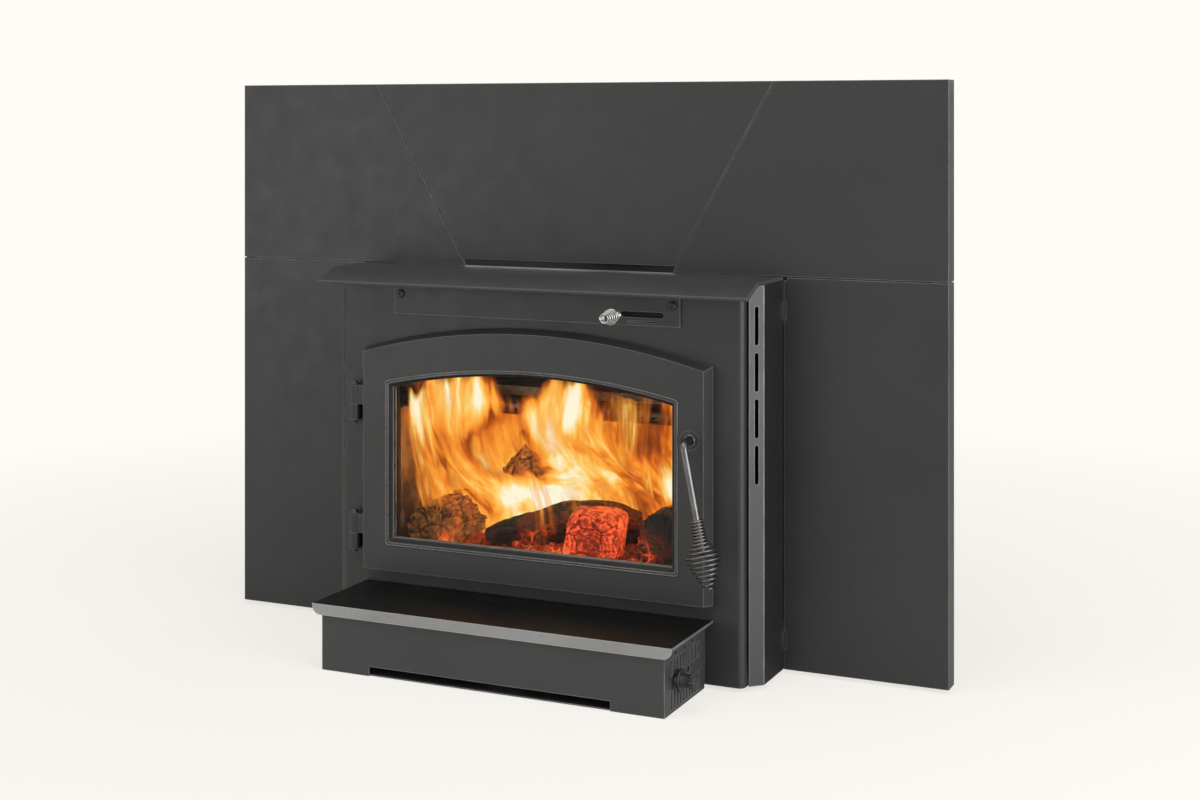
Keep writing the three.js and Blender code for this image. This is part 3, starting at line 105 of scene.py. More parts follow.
def make_world(level):
    """Even light of the given level, with a cream backdrop wherever the world itself is seen."""
    world = bpy.data.worlds.new("studio")
    sky = Nodes(world)
    rays = sky.node("LightPath").outputs
    seen = sky.math("MAXIMUM", rays["Is Camera Ray"], rays["Is Glossy Ray"])
    seen = sky.math("MAXIMUM", seen, rays["Is Transmission Ray"])
    light = sky.node("Background", {"Color": (1.0, 0.99, 0.97, 1.0), "Strength": level})
    backdrop = sky.node("Background", {"Color": CREAM})
    both = sky.node("MixShader", {0: seen, 1: light.outputs[0], 2: backdrop.outputs[0]})
    sky.node("OutputWorld", {"Surface": both.outputs[0]})
    scene.world = world


def make_floor(shown):
    """A pale floor that keeps the object's shadow. To the camera it shows the plain backdrop: a share of it
    near the object, given by shown, and nothing else far away."""
    near, far = 0.55, 1.9
    bpy.ops.mesh.primitive_plane_add(size=40, location=(0, 0, -0.0004))
    floor = bpy.context.object
    floor.name = "floor"
    material = bpy.data.materials.new("floor")
    cloth = Nodes(material)
    place = cloth.node("TexCoord").outputs["Object"]
    away = cloth.node("VectorMath", {0: place}, operation="LENGTH").outputs["Value"]
    share = cloth.times(cloth.node("LightPath").outputs["Is Camera Ray"], cloth.span(away, near, far, shown))
    plain = cloth.node("BsdfDiffuse", {"Color": (0.92, 0.9, 0.86, 1.0)})
    glow = cloth.node("Emission", {"Color": CREAM})
    both = cloth.node("MixShader", {0: share, 1: plain.outputs[0], 2: glow.outputs[0]})
    cloth.node("OutputMaterial", {"Surface": both.outputs[0]})
    floor.data.materials.append(material)


def add_lamp(name, kind, place, **values):
    data = bpy.data.lights.new(name, kind)
    for key, value in values.items():
        setattr(data, key, value)
    lamp = bpy.data.objects.new(name, data)
    lamp.location = place
    lamp.visible_camera = False
    scene.collection.objects.link(lamp)
    return lamp


def softbox(name, place, target, width, height, radiance):
    lamp = add_lamp(name, "AREA", place, shape="RECTANGLE", size=width, size_y=height,
                    energy=radiance * math.pi * width * height)
    lamp.rotation_euler = (Vector(target) - Vector(place)).to_track_quat("-Z", "Y").to_euler()


def fire_lamp(name, place, watts, radius, color):
    lamp = add_lamp(name, "POINT", place, energy=watts, shadow_soft_size=radius, color=color)
    lamp.visible_glossy = lamp.visible_transmission = False


# ---------------------------------------------------------------- materials

def grey(value, warm=0.0):
    return (value * (1 + warm), value, value * (1 - warm), 1.0)


class Look(Nodes):
    """A material under construction: a Principled shader and short names for what feeds it."""

    def __init__(self, name, values=None):
        self.material = bpy.data.materials.new(name)
        super().__init__(self.material)
        self.shader = self.node("BsdfPrincipled", values)
        self.out = self.node("OutputMaterial", {"Surface": self.shader.outputs[0]})
        coordinates = self.node("TexCoord").outputs
        self.place, self.uv = coordinates["Object"], coordinates["UV"]

    def stretched(self, scale):
        return self.node("Mapping", {"Vector": self.place, "Scale": scale}).outputs[0]

    def noise(self, scale, detail=3.0, rough=0.55, vector=None, bend=0.0):
        return self.node("TexNoise", {
            "Vector": vector or self.place, "Scale": scale, "Detail": detail, "Roughness": rough,
            "Distortion": bend,
        }).outputs[0]

    def cells(self, scale, vector=None, feature="F1", output="Distance"):
        return self.node("TexVoronoi", {
            "Vector": vector or self.place, "Scale": scale,
        }, feature=feature).outputs[output]

    def blend(self, share, first, second):
        return self.node("Mix", {0: share, 6: first, 7: second}, data_type="RGBA").outputs[2]

    def ramp(self, value, stops):
        made = self.node("ValToRGB", {"Fac": value})
        elements = made.color_ramp.elements
        elements.remove(elements[-1])
        elements[0].position, elements[0].color = stops[0]
        for position, color in stops[1:]:
            elements.new(position).color = color
        return made.outputs[0]

    def edge(self, radius):
        """1 on outer and inner edges, 0 on open faces."""
        rounded = self.node("Bevel", {"Radius": radius}, samples=4).outputs[0]
        plain = self.node("NewGeometry").outputs["Normal"]
        agree = self.node("VectorMath", {0: rounded, 1: plain}, operation="DOT_PRODUCT").outputs["Value"]
        return self.span(agree, 0.99, 0.86)

    def set(self, socket, value):
        self.feed(self.shader.inputs[socket], value)

    def bump(self, height, strength, distance):
        made = self.node("Bump", {"Height": height, "Strength": strength, "Distance": distance})
        self.set("Normal", made.outputs[0])


def paint(name, dark, light, worn, rough, grain=0.12, edge_wear_and_highlight=0.6, values=None, top=None):
    """Sprayed stove paint: a fine grain, soft clouds in tone and gloss, and edges lighter, partly from rubbed
    wear and partly as a painted highlight.
    top holds two colours for the faces that lie flat, darker there as painted shade."""
    look = Look(name, values)
    fine = look.noise(1100.0, 2.0, 0.7)
    clouds = look.noise(5.0, 5.0, 0.6)
    tone = look.span(look.math("ADD", look.times(fine, 0.65), look.times(clouds, 0.35)), 0.36, 0.64)
    body = look.blend(tone, dark, light)
    # painted shade: faces that point up take the darker top colours
    if top:
        normal = look.node("NewGeometry").outputs["True Normal"]
        level = look.span(look.node("SeparateXYZ", {0: normal}).outputs["Z"], 0.9, 0.98)
        body = look.blend(level, body, look.blend(tone, *top))
    # painted highlight and wear: edges blend towards the worn colour, partly rubbed paint and partly the
    # bright line an edge would catch
    edge_wear_and_highlight_mask = look.times(look.edge(0.0018), look.span(look.noise(45.0, 4.0), 0.3, 0.65, 0.45))
    look.set("Base Color", look.blend(look.times(edge_wear_and_highlight_mask, edge_wear_and_highlight), body, worn))
    gloss = look.math("ADD", look.span(look.noise(28.0, 5.0), 0.3, 0.7, rough - 0.05, rough + 0.07),
                      look.span(fine, 0.2, 0.8, -0.05, 0.05))
    look.set("Roughness", gloss)
    look.bump(fine, grain, 0.0005)
    return look.material


def metal(name, dark, light, rough, scale, lines=(1.0, 1.0, 1.0), grain=0.1):
    """Bare metal: fine marks drawn out along lines, and soft clouds in its tone and gloss."""
    look = Look(name, {"Metallic": 1.0})
    marks = look.noise(scale, 4.0, 0.65, look.stretched(lines))
    clouds = look.noise(40.0, 4.0)
    tone = look.math("ADD", look.times(marks, 0.5), look.times(clouds, 0.5))
    look.set("Base Color", look.blend(look.span(tone, 0.35, 0.65), dark, light))
    look.set("Roughness", look.span(tone, 0.3, 0.7, rough - 0.07, rough + 0.09))
    look.bump(marks, grain, 0.0003)
    return look.material


def galvanised(name, dark, light):
    look = Look(name, {"Metallic": 1.0})
    spangle = look.cells(110.0, output="Color")
    shade = look.node("SeparateColor", {"Color": spangle}).outputs[0]
    look.set("Base Color", look.blend(shade, grey(dark), grey(light)))
    look.set("Roughness", look.span(shade, 0.0, 1.0, 0.32, 0.52))
    look.bump(look.noise(300.0, 3.0), 0.08, 0.0004)
    return look.material


def firebrick():
    """Sooty yellow brick with pores, grit and a few darker stains."""
    look = Look("firebrick")
    grit, stain = look.noise(420.0, 4.0, 0.7), look.noise(14.0, 6.0, 0.65)
    pores = look.span(look.cells(260.0), 0.06, 0.3)
    body = look.blend(look.span(grit, 0.3, 0.7), (0.13, 0.08, 0.042, 1), (0.23, 0.155, 0.09, 1))
    sooty = look.blend(look.span(stain, 0.42, 0.64), (0.022, 0.014, 0.009, 1), body)
    look.set("Base Color", look.blend(pores, (0.06, 0.04, 0.025, 1), sooty))
    look.set("Roughness", look.span(grit, 0.3, 0.7, 0.8, 0.98))
    look.bump(look.math("ADD", grit, look.times(pores, 0.8)), 0.5, 0.0015)
    return look.material


def vermiculite():
    look = Look("vermiculite")
    flakes = look.node("SeparateColor", {"Color": look.cells(380.0, output="Color")}).outputs[0]
    body = look.blend(flakes, (0.22, 0.16, 0.09, 1), (0.42, 0.34, 0.22, 1))
    clean = look.span(look.noise(18.0, 5.0), 0.35, 0.6)
    look.set("Base Color", look.blend(clean, (0.05, 0.035, 0.02, 1), body))
    look.set("Roughness", look.span(flakes, 0.0, 1.0, 0.75, 0.95))
    look.bump(flakes, 0.4, 0.001)
    return look.material


def plastic(name, base, rough):
    look = Look(name)
    fine = look.noise(1500.0, 3.0)
    look.set("Base Color", look.blend(look.span(fine, 0.35, 0.65), grey(base * 0.8), grey(base * 1.3)))
    look.set("Roughness", look.span(look.noise(120.0, 4.0), 0.3, 0.7, rough - 0.06, rough + 0.08))
    look.bump(fine, 0.15, 0.0002)
    return look.material


def woven_glass():
    """Glass-fibre rope and tape: pale fibres gone grey with soot."""
    look = Look("woven_glass", {"Sheen Weight": 0.3, "Sheen Roughness": 0.5})
    fibre = look.noise(2600.0, 3.0, 0.6, look.stretched((1.0, 0.35, 1.0)))
    soot = look.noise(35.0, 5.0)
    body = look.blend(look.span(fibre, 0.3, 0.7), grey(0.16, 0.04), grey(0.36, 0.05))
    look.set("Base Color", look.blend(look.span(soot, 0.4, 0.62), grey(0.045, 0.08), body))
    look.set("Roughness", look.span(fibre, 0.3, 0.7, 0.75, 0.95))
    look.bump(fibre, 0.5, 0.0006)
    return look.material


def stove_glass():
    """Clear ceramic glass with a faint amber tint and a little haze in patches."""
    look = Look("stove_glass", {"Transmission Weight": 1.0, "IOR": 1.16})
    haze = look.noise(22.0, 5.0)
    tint = look.blend(look.span(haze, 0.4, 0.75), (1.0, 0.985, 0.955, 1), (0.97, 0.94, 0.9, 1))
    look.set("Base Color", tint)
    look.set("Roughness", look.span(haze, 0.45, 0.8, 0.0, 0.02))
    return look.material


def charred(name, wood, char, glow, glow_from, glow_to, heat, skin_heat=0.0, scales=52.0, rings_at=None,
            lit=None):
    """Burning wood: charred scales with cracks between them, hotter lower down. Its skin may glow too: in
    year rings round a line along Y through rings_at, or with painted firelight, as bark lit by the fire in
    the colours of lit."""
    look = Look(name)
    wander = look.node("TexNoise", {"Vector": look.place, "Scale": 30.0}).outputs["Color"]
    bent = look.node("VectorMath", {0: wander, 1: (0.014, 0.014, 0.014), 2: look.place},
                     operation="MULTIPLY_ADD").outputs[0]
    crack = look.cells(scales, bent, "DISTANCE_TO_EDGE")
    fine = look.cells(scales * 2.7, bent, "DISTANCE_TO_EDGE")
    fibre = look.noise(1.0, 6.0, 0.7, look.stretched((190.0, 45.0, 190.0)), 0.4)
    patch = look.noise(13.0, 5.0, 0.6)
    body = look.blend(look.span(patch, glow_from - 0.06, glow_to), char, wood)
    body = look.blend(look.span(fibre, 0.3, 0.6, 0.0, 0.85), body, (0.010, 0.007, 0.006, 1))
    body = look.blend(look.span(crack, 0.02, 0.09), (0.004, 0.003, 0.003, 1), body)
    look.set("Base Color", body)
    look.set("Roughness", look.span(fibre, 0.3, 0.7, 0.7, 0.95))
    gap = look.math("MAXIMUM", look.span(crack, 0.0, 0.11, 1.0, 0.0), look.span(fine, 0.0, 0.07, 0.55, 0.0))
    low = look.span(look.node("SeparateXYZ", {0: look.place}).outputs["Z"], 0.125, 0.195, 1.0, 0.12)
    hot = look.times(gap, low, look.span(patch, glow_from, glow_to))
    if skin_heat:
        skin = look.times(look.span(fibre, 0.7, 0.4, 0.3), look.span(patch, 0.3, 0.55, 0.35))
        if rings_at:
            centred = look.node("Mapping", {"Vector": look.place, "Location": tuple(-c for c in rings_at)})
            rings = look.node("TexWave", {
                "Vector": centred.outputs[0], "Scale": 42.0, "Distortion": 16.0, "Detail": 5.0,
                "Detail Scale": 0.9,
            }, wave_type="RINGS", rings_direction="Y").outputs[1]
            skin = look.times(skin, look.span(rings, 0.1, 0.8, 0.68), look.span(crack, 0.01, 0.05, 0.45))
        else:
            skin = look.times(skin, look.span(crack, 0.03, 0.1, 0.15))
        skin = look.times(skin, skin_heat)
        if not lit:
            hot = look.math("MAXIMUM", hot, skin)
    shine = look.ramp(hot, [
        (0.0, (0.0, 0.0, 0.0, 1)), (0.18, (0.16, 0.008, 0.0, 1)), (0.42, glow),
        (0.72, (1.0, 0.24, 0.03, 1)), (1.0, (1.0, 0.62, 0.2, 1)),
    ])
    # painted firelight: with lit, the skin glows in its colours as if lit by the fire
    if lit:
        warm = look.blend(skin, (0, 0, 0, 1), look.blend(look.span(fibre, 0.35, 0.65, 1.0, 0.0), *lit))
        shine = look.node("Mix", {0: 1.0, 6: shine, 7: warm}, data_type="RGBA", blend_type="ADD").outputs[2]
    look.set("Emission Color", shine)
    look.set("Emission Strength", heat)
    look.bump(look.math("ADD", look.times(crack, 2.0), fibre), 0.6, 0.002)
    return look.material


def flame(name, cores, cover, foot_heat, top_heat, foot_fade, seed):
    """A soft sheet of fire. UV runs across it and up it; its heat falls with height and varies in streaks."""
    look = Look(name)
    look.tree.nodes.remove(look.shader)
    shifted = look.node("Mapping", {
        "Vector": look.place, "Location": (seed, seed * 0.7, seed * 0.4), "Scale": (17.0, 7.0, 3.3),
    }).outputs[0]
    streak = look.noise(1.0, 5.0, 0.55, shifted, 1.1)
    thin = look.noise(3.4, 4.0, 0.6, shifted, 0.8)
    across, up, _ = look.node("SeparateXYZ", {0: look.uv}).outputs
    heat = look.span(up, 0.0, 1.0, foot_heat, top_heat)
    flat = look.node("VectorMath", {0: look.place, 1: (1.0, 0.0, 1.0)}, operation="MULTIPLY").outputs[0]
    for x, z, reach, gain in cores:
        away = look.node("VectorMath", {0: flat, 1: (x, 0.0, z)}, operation="DISTANCE").outputs["Value"]
        heat = look.math("ADD", heat, look.span(away, reach, reach * 0.1, 0.0, gain))
    heat = look.math("ADD", heat, look.span(streak, 0.28, 0.72, -0.5, 0.5))
    heat = look.math("ADD", heat, look.span(thin, 0.25, 0.75, -0.15, 0.15))
    sides = look.times(look.span(across, 0.0, 0.03), look.span(across, 1.0, 0.97))
    top = look.span(look.math("ADD", up, look.span(streak, 0.3, 0.7, 0.05, -0.05)), 1.0, 0.92)
    body = look.span(heat, cover - 0.24, cover + 0.26)
    alpha = look.times(body, top, look.times(sides, look.span(up, 0.0, foot_fade)))
    color = look.ramp(look.times(heat, 0.72, look.span(alpha, 0.0, 0.8, 0.45)), [
        (0.0, (0.07, 0.008, 0.001, 1)), (0.16, (0.33, 0.045, 0.004, 1)), (0.34, (0.82, 0.18, 0.012, 1)),
        (0.54, (1.0, 0.39, 0.04, 1)), (0.72, (1.0, 0.68, 0.18, 1)), (0.9, (1.0, 0.95, 0.72, 1)),
    ])
    light = look.node("Emission", {"Color": color}).outputs[0]
    clear = look.node("BsdfTransparent").outputs[0]
    both = look.node("MixShader", {0: alpha, 1: clear, 2: light}).outputs[0]
    look.feed(look.out.inputs["Surface"], both)
    look.material.cycles.emission_sampling = "NONE"
    return look.material


# ---------------------------------------------------------------- mesh building

def piece(name, mesh, material, body, stands_for=()):
    made = bpy.data.objects.new(name, mesh)
    scene.collection.objects.link(made)
    mesh.materials.append(material)
    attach(made, body)
    if stands_for:
        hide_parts(*stands_for)
    return made


def finished(mesh, closed=True, sharp=50):
    """Turns the faces outwards and shades them smooth, apart from edges sharper than the angle given."""
    work = bmesh.new()
    work.from_mesh(mesh)
    if closed:
        bmesh.ops.recalc_face_normals(work, faces=work.faces)
    for face in work.faces:
        face.smooth = True
    limit = math.radians(sharp)
    for edge in work.edges:
        edge.smooth = len(edge.link_faces) < 2 or edge.calc_face_angle(0) < limit
    work.to_mesh(mesh)
    work.free()
    return mesh


def new_mesh(name, points, faces, uv):
    """A mesh with one UV layer; uv lists two values for each corner of each face."""
    mesh = bpy.data.meshes.new(name)
    mesh.from_pydata(points, [], faces)
    mesh.uv_layers.new(name="uv").data.foreach_set("uv", uv)
    mesh.update()
    return mesh


def grid_faces(wide, high):
    """The faces over a grid of points in rows of wide + 1."""
    return [(a, a + 1, a + wide + 2, a + wide + 1)
            for j in range(high) for a in range(j * (wide + 1), j * (wide + 1) + wide)]


def rings_mesh(name, rings, loop=False, sharp=50):
    """A skin over rings of equal count. Its UV runs round the rings and from ring to ring."""
    count, total = len(rings[0]), len(rings)
    points = [point for ring in rings for point in ring]
    faces, uv = [], []
    for i in range(total if loop else total - 1):
        low, high = i * count, ((i + 1) % total) * count
        v0, v1 = i / (total - 1), (i + 1) / (total - 1)
        for j in range(count):
            k = (j + 1) % count
            faces.append((low + j, low + k, high + k, high + j))
            u0, u1 = j / count, (j + 1) / count
            uv += [u0, v0, u1, v0, u1, v1, u0, v1]
    if not loop:
        for first, v in ((0, 0.0), ((total - 1) * count, 1.0)):
            faces.append(tuple(range(first, first + count)))
            for j in range(count):
                uv += [j / count, v]
    return finished(new_mesh(name, points, faces, uv), True, sharp)


def turned(name, origin, axis, profile, sides, sharp, shape):
    """A lathed piece: profile gives distances along the axis and radii in mm, and shape(row, angle) varies a
    radius round the axis."""
    axis = Vector(axis)
    first = axis.orthogonal().normalized()
    second = axis.cross(first)
    rings = []
    for row, (along, radius) in enumerate(profile):
        ring = []
        for side in range(sides):
            angle = 2 * math.pi * side / sides
            reach = radius * MM * shape(row, angle)
            ring.append(origin + axis * (along * MM)
                        + (first * math.cos(angle) + second * math.sin(angle)) * reach)
        rings.append(ring)
    return rings_mesh(name, rings, sharp=sharp)


def wire(name, route, radius, sides):
    """A round wire with rounded ends along a route of points."""
    last = len(route) - 1
    tangents = [(route[min(i + 1, last)] - route[max(i - 1, 0)]).normalized() for i in range(last + 1)]
    across = tangents[0].orthogonal().normalized()
    rings = []

    def add_ring(centre, tangent, size):
        third = tangent.cross(across)
        rings.append([centre + (across * math.cos(2 * math.pi * s / sides)
                                + third * math.sin(2 * math.pi * s / sides)) * size for s in range(sides)])

    def add_end(centre, tangent, way, angles):
        for angle in angles:
            turn = math.radians(angle)
            add_ring(centre + tangent * (way * radius) * math.sin(turn), tangent, radius * math.cos(turn))

    for i, (centre, tangent) in enumerate(zip(route, tangents)):
        across = (across - tangent * across.dot(tangent)).normalized()
        if i == 0:
            add_end(centre, tangent, -1, (80, 60, 40, 20))
        add_ring(centre, tangent, radius)
        if i == last:
            add_end(centre, tangent, 1, (20, 40, 60, 80))
    return rings_mesh(name, rings)


def flat_loop(name, path, y, section, sharp=50):
    """Sweeps a section round a closed path in the XZ plane; section(share, angle) gives out and depth."""
    count, sides = len(path), 20
    rings = []
    total = sum((path[(i + 1) % count] - path[i]).length for i in range(count))
    gone = 0.0
    for i in range(count):
        along = (path[(i + 1) % count] - path[i - 1]).normalized()
        outward = Vector((along.z, 0, -along.x))
        ring = []
        for side in range(sides):
            out, deep = section(gone / total, 2 * math.pi * side / sides)
            ring.append(path[i] + outward * out + Vector((0, y + deep, 0)))
        rings.append(ring)
        gone += (path[(i + 1) % count] - path[i]).length
    return rings_mesh(name, rings, loop=True, sharp=sharp)


def arch_path(half, bottom, corner, crown, round_by, step):
    """A closed path, anticlockwise seen from the front, with rounded corners and points a step apart. It is
    given in mm and comes out in metres."""
    rise = crown - corner
    radius = (half * half + rise * rise) / (2 * rise)
    reach = math.asin(half / radius)
    top = [Vector((radius * math.sin(a), 0, crown - radius + radius * math.cos(a)))
           for a in (reach * (1 - 2 * i / 60) for i in range(61))]
    points = [Vector((-half, 0, bottom)), Vector((half, 0, bottom)), *top]
    soft = []
    for i, point in enumerate(points):
        before, after = points[i - 1], points[(i + 1) % len(points)]
        inward, onward = (before - point).normalized(), (after - point).normalized()
        if inward.angle(-onward) < math.radians(20):
            soft.append(point)
            continue
        start, end = point + inward * round_by, point + onward * round_by
        for k in range(9):
            t = k / 8
            soft.append(start * (1 - t) ** 2 + point * 2 * t * (1 - t) + end * t * t)
    soft = [p for i, p in enumerate(soft) if (p - soft[i - 1]).length > 1e-6]
    even, carry = [], 0.0
    for i, point in enumerate(soft):
        after = soft[(i + 1) % len(soft)]
        length = (after - point).length
        at = carry
        while at < length:
            even.append(point.lerp(after, at / length) * MM)
            at += step
        carry = at - length
    return even


# ---------------------------------------------------------------- CAD nodes: edges and materials

def smoothing_group():
    """Geometry nodes: drop stored normals, shade smooth and keep edges over 50 degrees sharp."""
    group = bpy.data.node_groups.new("smooth_by_angle", "GeometryNodeTree")
    group.interface.new_socket("Geometry", in_out="INPUT", socket_type="NodeSocketGeometry")
    group.interface.new_socket("Geometry", in_out="OUTPUT", socket_type="NodeSocketGeometry")
    new, link = group.nodes.new, group.links.new
    start, end = new("NodeGroupInput"), new("NodeGroupOutput")
    drop, faces, edges = (new("GeometryNodeRemoveAttribute"), new("GeometryNodeSetShadeSmooth"),
                          new("GeometryNodeSetShadeSmooth"))
    drop.inputs["Name"].default_value = "custom_normal"
    edges.domain = "EDGE"
    edges.inputs["Shade Smooth"].default_value = False
    angle, over = new("GeometryNodeInputMeshEdgeAngle"), new("FunctionNodeCompare")
    over.data_type, over.operation = "FLOAT", "GREATER_THAN"
    over.inputs[1].default_value = math.radians(50)
    link(over.outputs[0], edges.inputs["Selection"])
    for before, after in ((angle, over), (start, drop), (drop, faces), (faces, edges), (edges, end)):
        link(before.outputs[0], after.inputs[0])
    return group


smoothing = smoothing_group()


def dress(name, material, bevel=0.5):
    """Gives a CAD node its finish and, where it can be seen, softened edges."""
    node = nodes[name]
    for slot in node.material_slots:
        slot.link = "OBJECT"
        slot.material = material
    if bevel is None:
        return
    weld = node.modifiers.new("weld", "WELD")
    weld.merge_threshold = 1e-5
    if bevel:
        flat = node.modifiers.new("flat", "DECIMATE")
        flat.decimate_type = "DISSOLVE"
        flat.angle_limit = math.radians(0.4)
        edge = node.modifiers.new("edge", "BEVEL")
        edge.width = bevel * MM
        edge.segments = 2
        edge.limit_method = "ANGLE"
        edge.angle_limit = math.radians(38)
    smooth = node.modifiers.new("smooth", "NODES")
    smooth.node_group = smoothing
    weighted = node.modifiers.new("normals", "WEIGHTED_NORMAL")
    weighted.keep_sharp = True


# ---------------------------------------------------------------- the materials in use

charcoal = paint("charcoal_paint", grey(0.0125, -0.04), grey(0.024, -0.04), grey(0.26), 0.47, edge_wear_and_highlight=1.0)
# a lighter copy of the charcoal paint: painted light on the corner vents, the blower box and the hood plate
charcoal_painted_light = paint("charcoal_painted_light", grey(0.034, -0.03), grey(0.054, -0.03), grey(0.30), 0.44, edge_wear_and_highlight=1.0,
                        values={"Metallic": 0.2})
# the ash shelf's metallic paint, with darker colours on its flat top as painted shade
charcoal_metallic_shaded_top = paint("charcoal_metallic_shaded_top", grey(0.24, -0.01), grey(0.36, -0.01), grey(0.6), 0.42, 0.15,
                          0.8, {"Metallic": 0.85}, (grey(0.010, 0.04), grey(0.022, 0.04)))
black = paint("black_paint", grey(0.006), grey(0.011), grey(0.05), 0.6, values={"Specular IOR Level": 0.25})
soot = paint("soot_black", grey(0.004), grey(0.008), grey(0.02), 0.9, values={"Specular IOR Level": 0.06})
cast = paint("cast_paint", grey(0.014, -0.03), grey(0.025, -0.03), grey(0.20), 0.43, 0.35, 0.9)
bead_paint = paint("bead_paint", grey(0.06), grey(0.11), grey(0.4), 0.28, 0.2, 0.6, {"Metallic": 0.7})
zinc = galvanised("galvanised", 0.20, 0.36)
# a darker copy of the galvanised steel: painted shade on the surround's brackets and joining frame
zinc_painted_shade = galvanised("galvanised_painted_shade", 0.025, 0.06)
brick = firebrick()
board = vermiculite()
tubes_steel = metal("tube_steel", (0.05, 0.028, 0.016, 1), (0.17, 0.11, 0.07, 1), 0.42, 260.0, (0.2, 1, 1))
satin = metal("satin_steel", grey(0.09), grey(0.165), 0.34, 500.0, (1.0, 1.0, 0.15))
chrome = metal("chrome_wire", grey(0.34), grey(0.50), 0.14, 700.0, grain=0.03)
dark_plastic = plastic("black_plastic", 0.012, 0.42)
fibre = woven_glass()
pane = stove_glass()
wood = charred("charred_wood", (0.16, 0.068, 0.024, 1), (0.016, 0.011, 0.009, 1), (0.75, 0.07, 0.008, 1),
               0.5, 0.72, 0.9)
embers = charred("glowing_wood", (0.16, 0.05, 0.03, 1), (0.03, 0.018, 0.015, 1), (0.80, 0.085, 0.02, 1),
                 0.46, 0.66, 1.5, 0.56, 40.0, (0.059, 0.0, 0.150))
# bark with painted firelight: its skin glows as if lit by the fire, besides its hot cracks
bark = charred("burning_bark_painted_firelight", (0.26, 0.115, 0.04, 1), (0.05, 0.022, 0.010, 1), (0.75, 0.09, 0.01, 1),
               0.48, 0.7, 0.9, 1.0, 44.0, None, ((0.02, 0.006, 0.001, 1), (0.36, 0.12, 0.018, 1)))
coals = charred("glowing_coals", (0.10, 0.045, 0.02, 1), (0.02, 0.014, 0.012, 1), (0.80, 0.10, 0.012, 1),
                0.44, 0.66, 1.1, 0.22, 95.0)

FINISH = {
    "charcoal_paint": charcoal, "black_paint": black, "cast_paint": cast, "galvanised_steel": zinc,
    "firebrick": brick, "vermiculite": board, "stainless": tubes_steel, "dull_steel": satin,
    "chrome": chrome, "black_plastic": dark_plastic, "glass_rope": fibre, "ceramic_glass": pane,
    "charred_wood": wood, "glowing_wood": embers,
}
# Finishes for single pieces. The lighter charcoal on the corner vents, blower box and hood plate is painted
# light; the darker galvanised on the surround's brackets and joining frame is painted shade, and so is the
# ash shelf's darker flat top.
LIGHTER = {
    "ash_shelf": charcoal_metallic_shaded_top, "corner_vent_left": charcoal_painted_light, "corner_vent_right": charcoal_painted_light,
    "blower_box": charcoal_painted_light, "surround_joining_frame": zinc_painted_shade, "casing_top": soot,
    "surround_bracket_left": zinc_painted_shade, "surround_bracket_right": zinc_painted_shade, "hood_plate": charcoal_painted_light,
}
BEVELS = {
    "door_frame": 1.3, "hood_plate": 1.4, "ash_shelf": 1.2, "facade_plate": 0.8, "blower_box": 0.5,
    "corner_vent_left": 0.6, "corner_vent_right": 0.6, "air_cover": 0.9, "door_glass": 0.0,
    "air_tube_1": None, "air_tube_2": None, "air_tube_3": None, "blower_rotor": 0.0,
    "hinge_pin_lower": 0.0, "hinge_pin_upper": 0.0,
}
for name, node in nodes.items():
    slot_name = node.data.materials[0].name.split(".")[0]
    dress(name, LIGHTER.get(name, FINISH.get(slot_name, charcoal)), BEVELS.get(name, 0.5))


# ---------------------------------------------------------------- handle

PIVOT = Vector((225.52, 0, 309.5)) * MM
BEND = Vector((225.52, -217, 309.5)) * MM
GRIP = Vector((40.5, -16, -169.5)).normalized()
ROD = 4.75


def ease(t, start, end):
    t = min(max((t - start) / (end - start), 0.0), 1.0)
    return t * t * (3 - 2 * t)


def clamp(value, low, high):
    return min(max(value, low), high)


def coil(name, turns, thick, radius_at, rise_at, origin, axis, start, material, body, node):
    """The CAD coil's own centre line, with a rounder wire and finer turns."""
    steps = 40
    axis = Vector(axis).normalized()
    first = Vector(start)
    second = axis.cross(first)
    route = []
    for i in range(round(turns * steps) + 1):
        share = i / (turns * steps)
        angle = 2 * math.pi * share * turns
        route.append(Vector(origin) + (axis * rise_at(share) + (
            first * math.cos(angle) + second * math.sin(angle)) * radius_at(share)) * MM)
    route.insert(0, route[0] + (route[0] - route[1]).normalized() * thick * MM)
    route.append(route[-1] + (route[-1] - route[-2]).normalized() * thick * MM)
    return piece(name, wire(name, route, thick * MM, 12), material, body, [node])


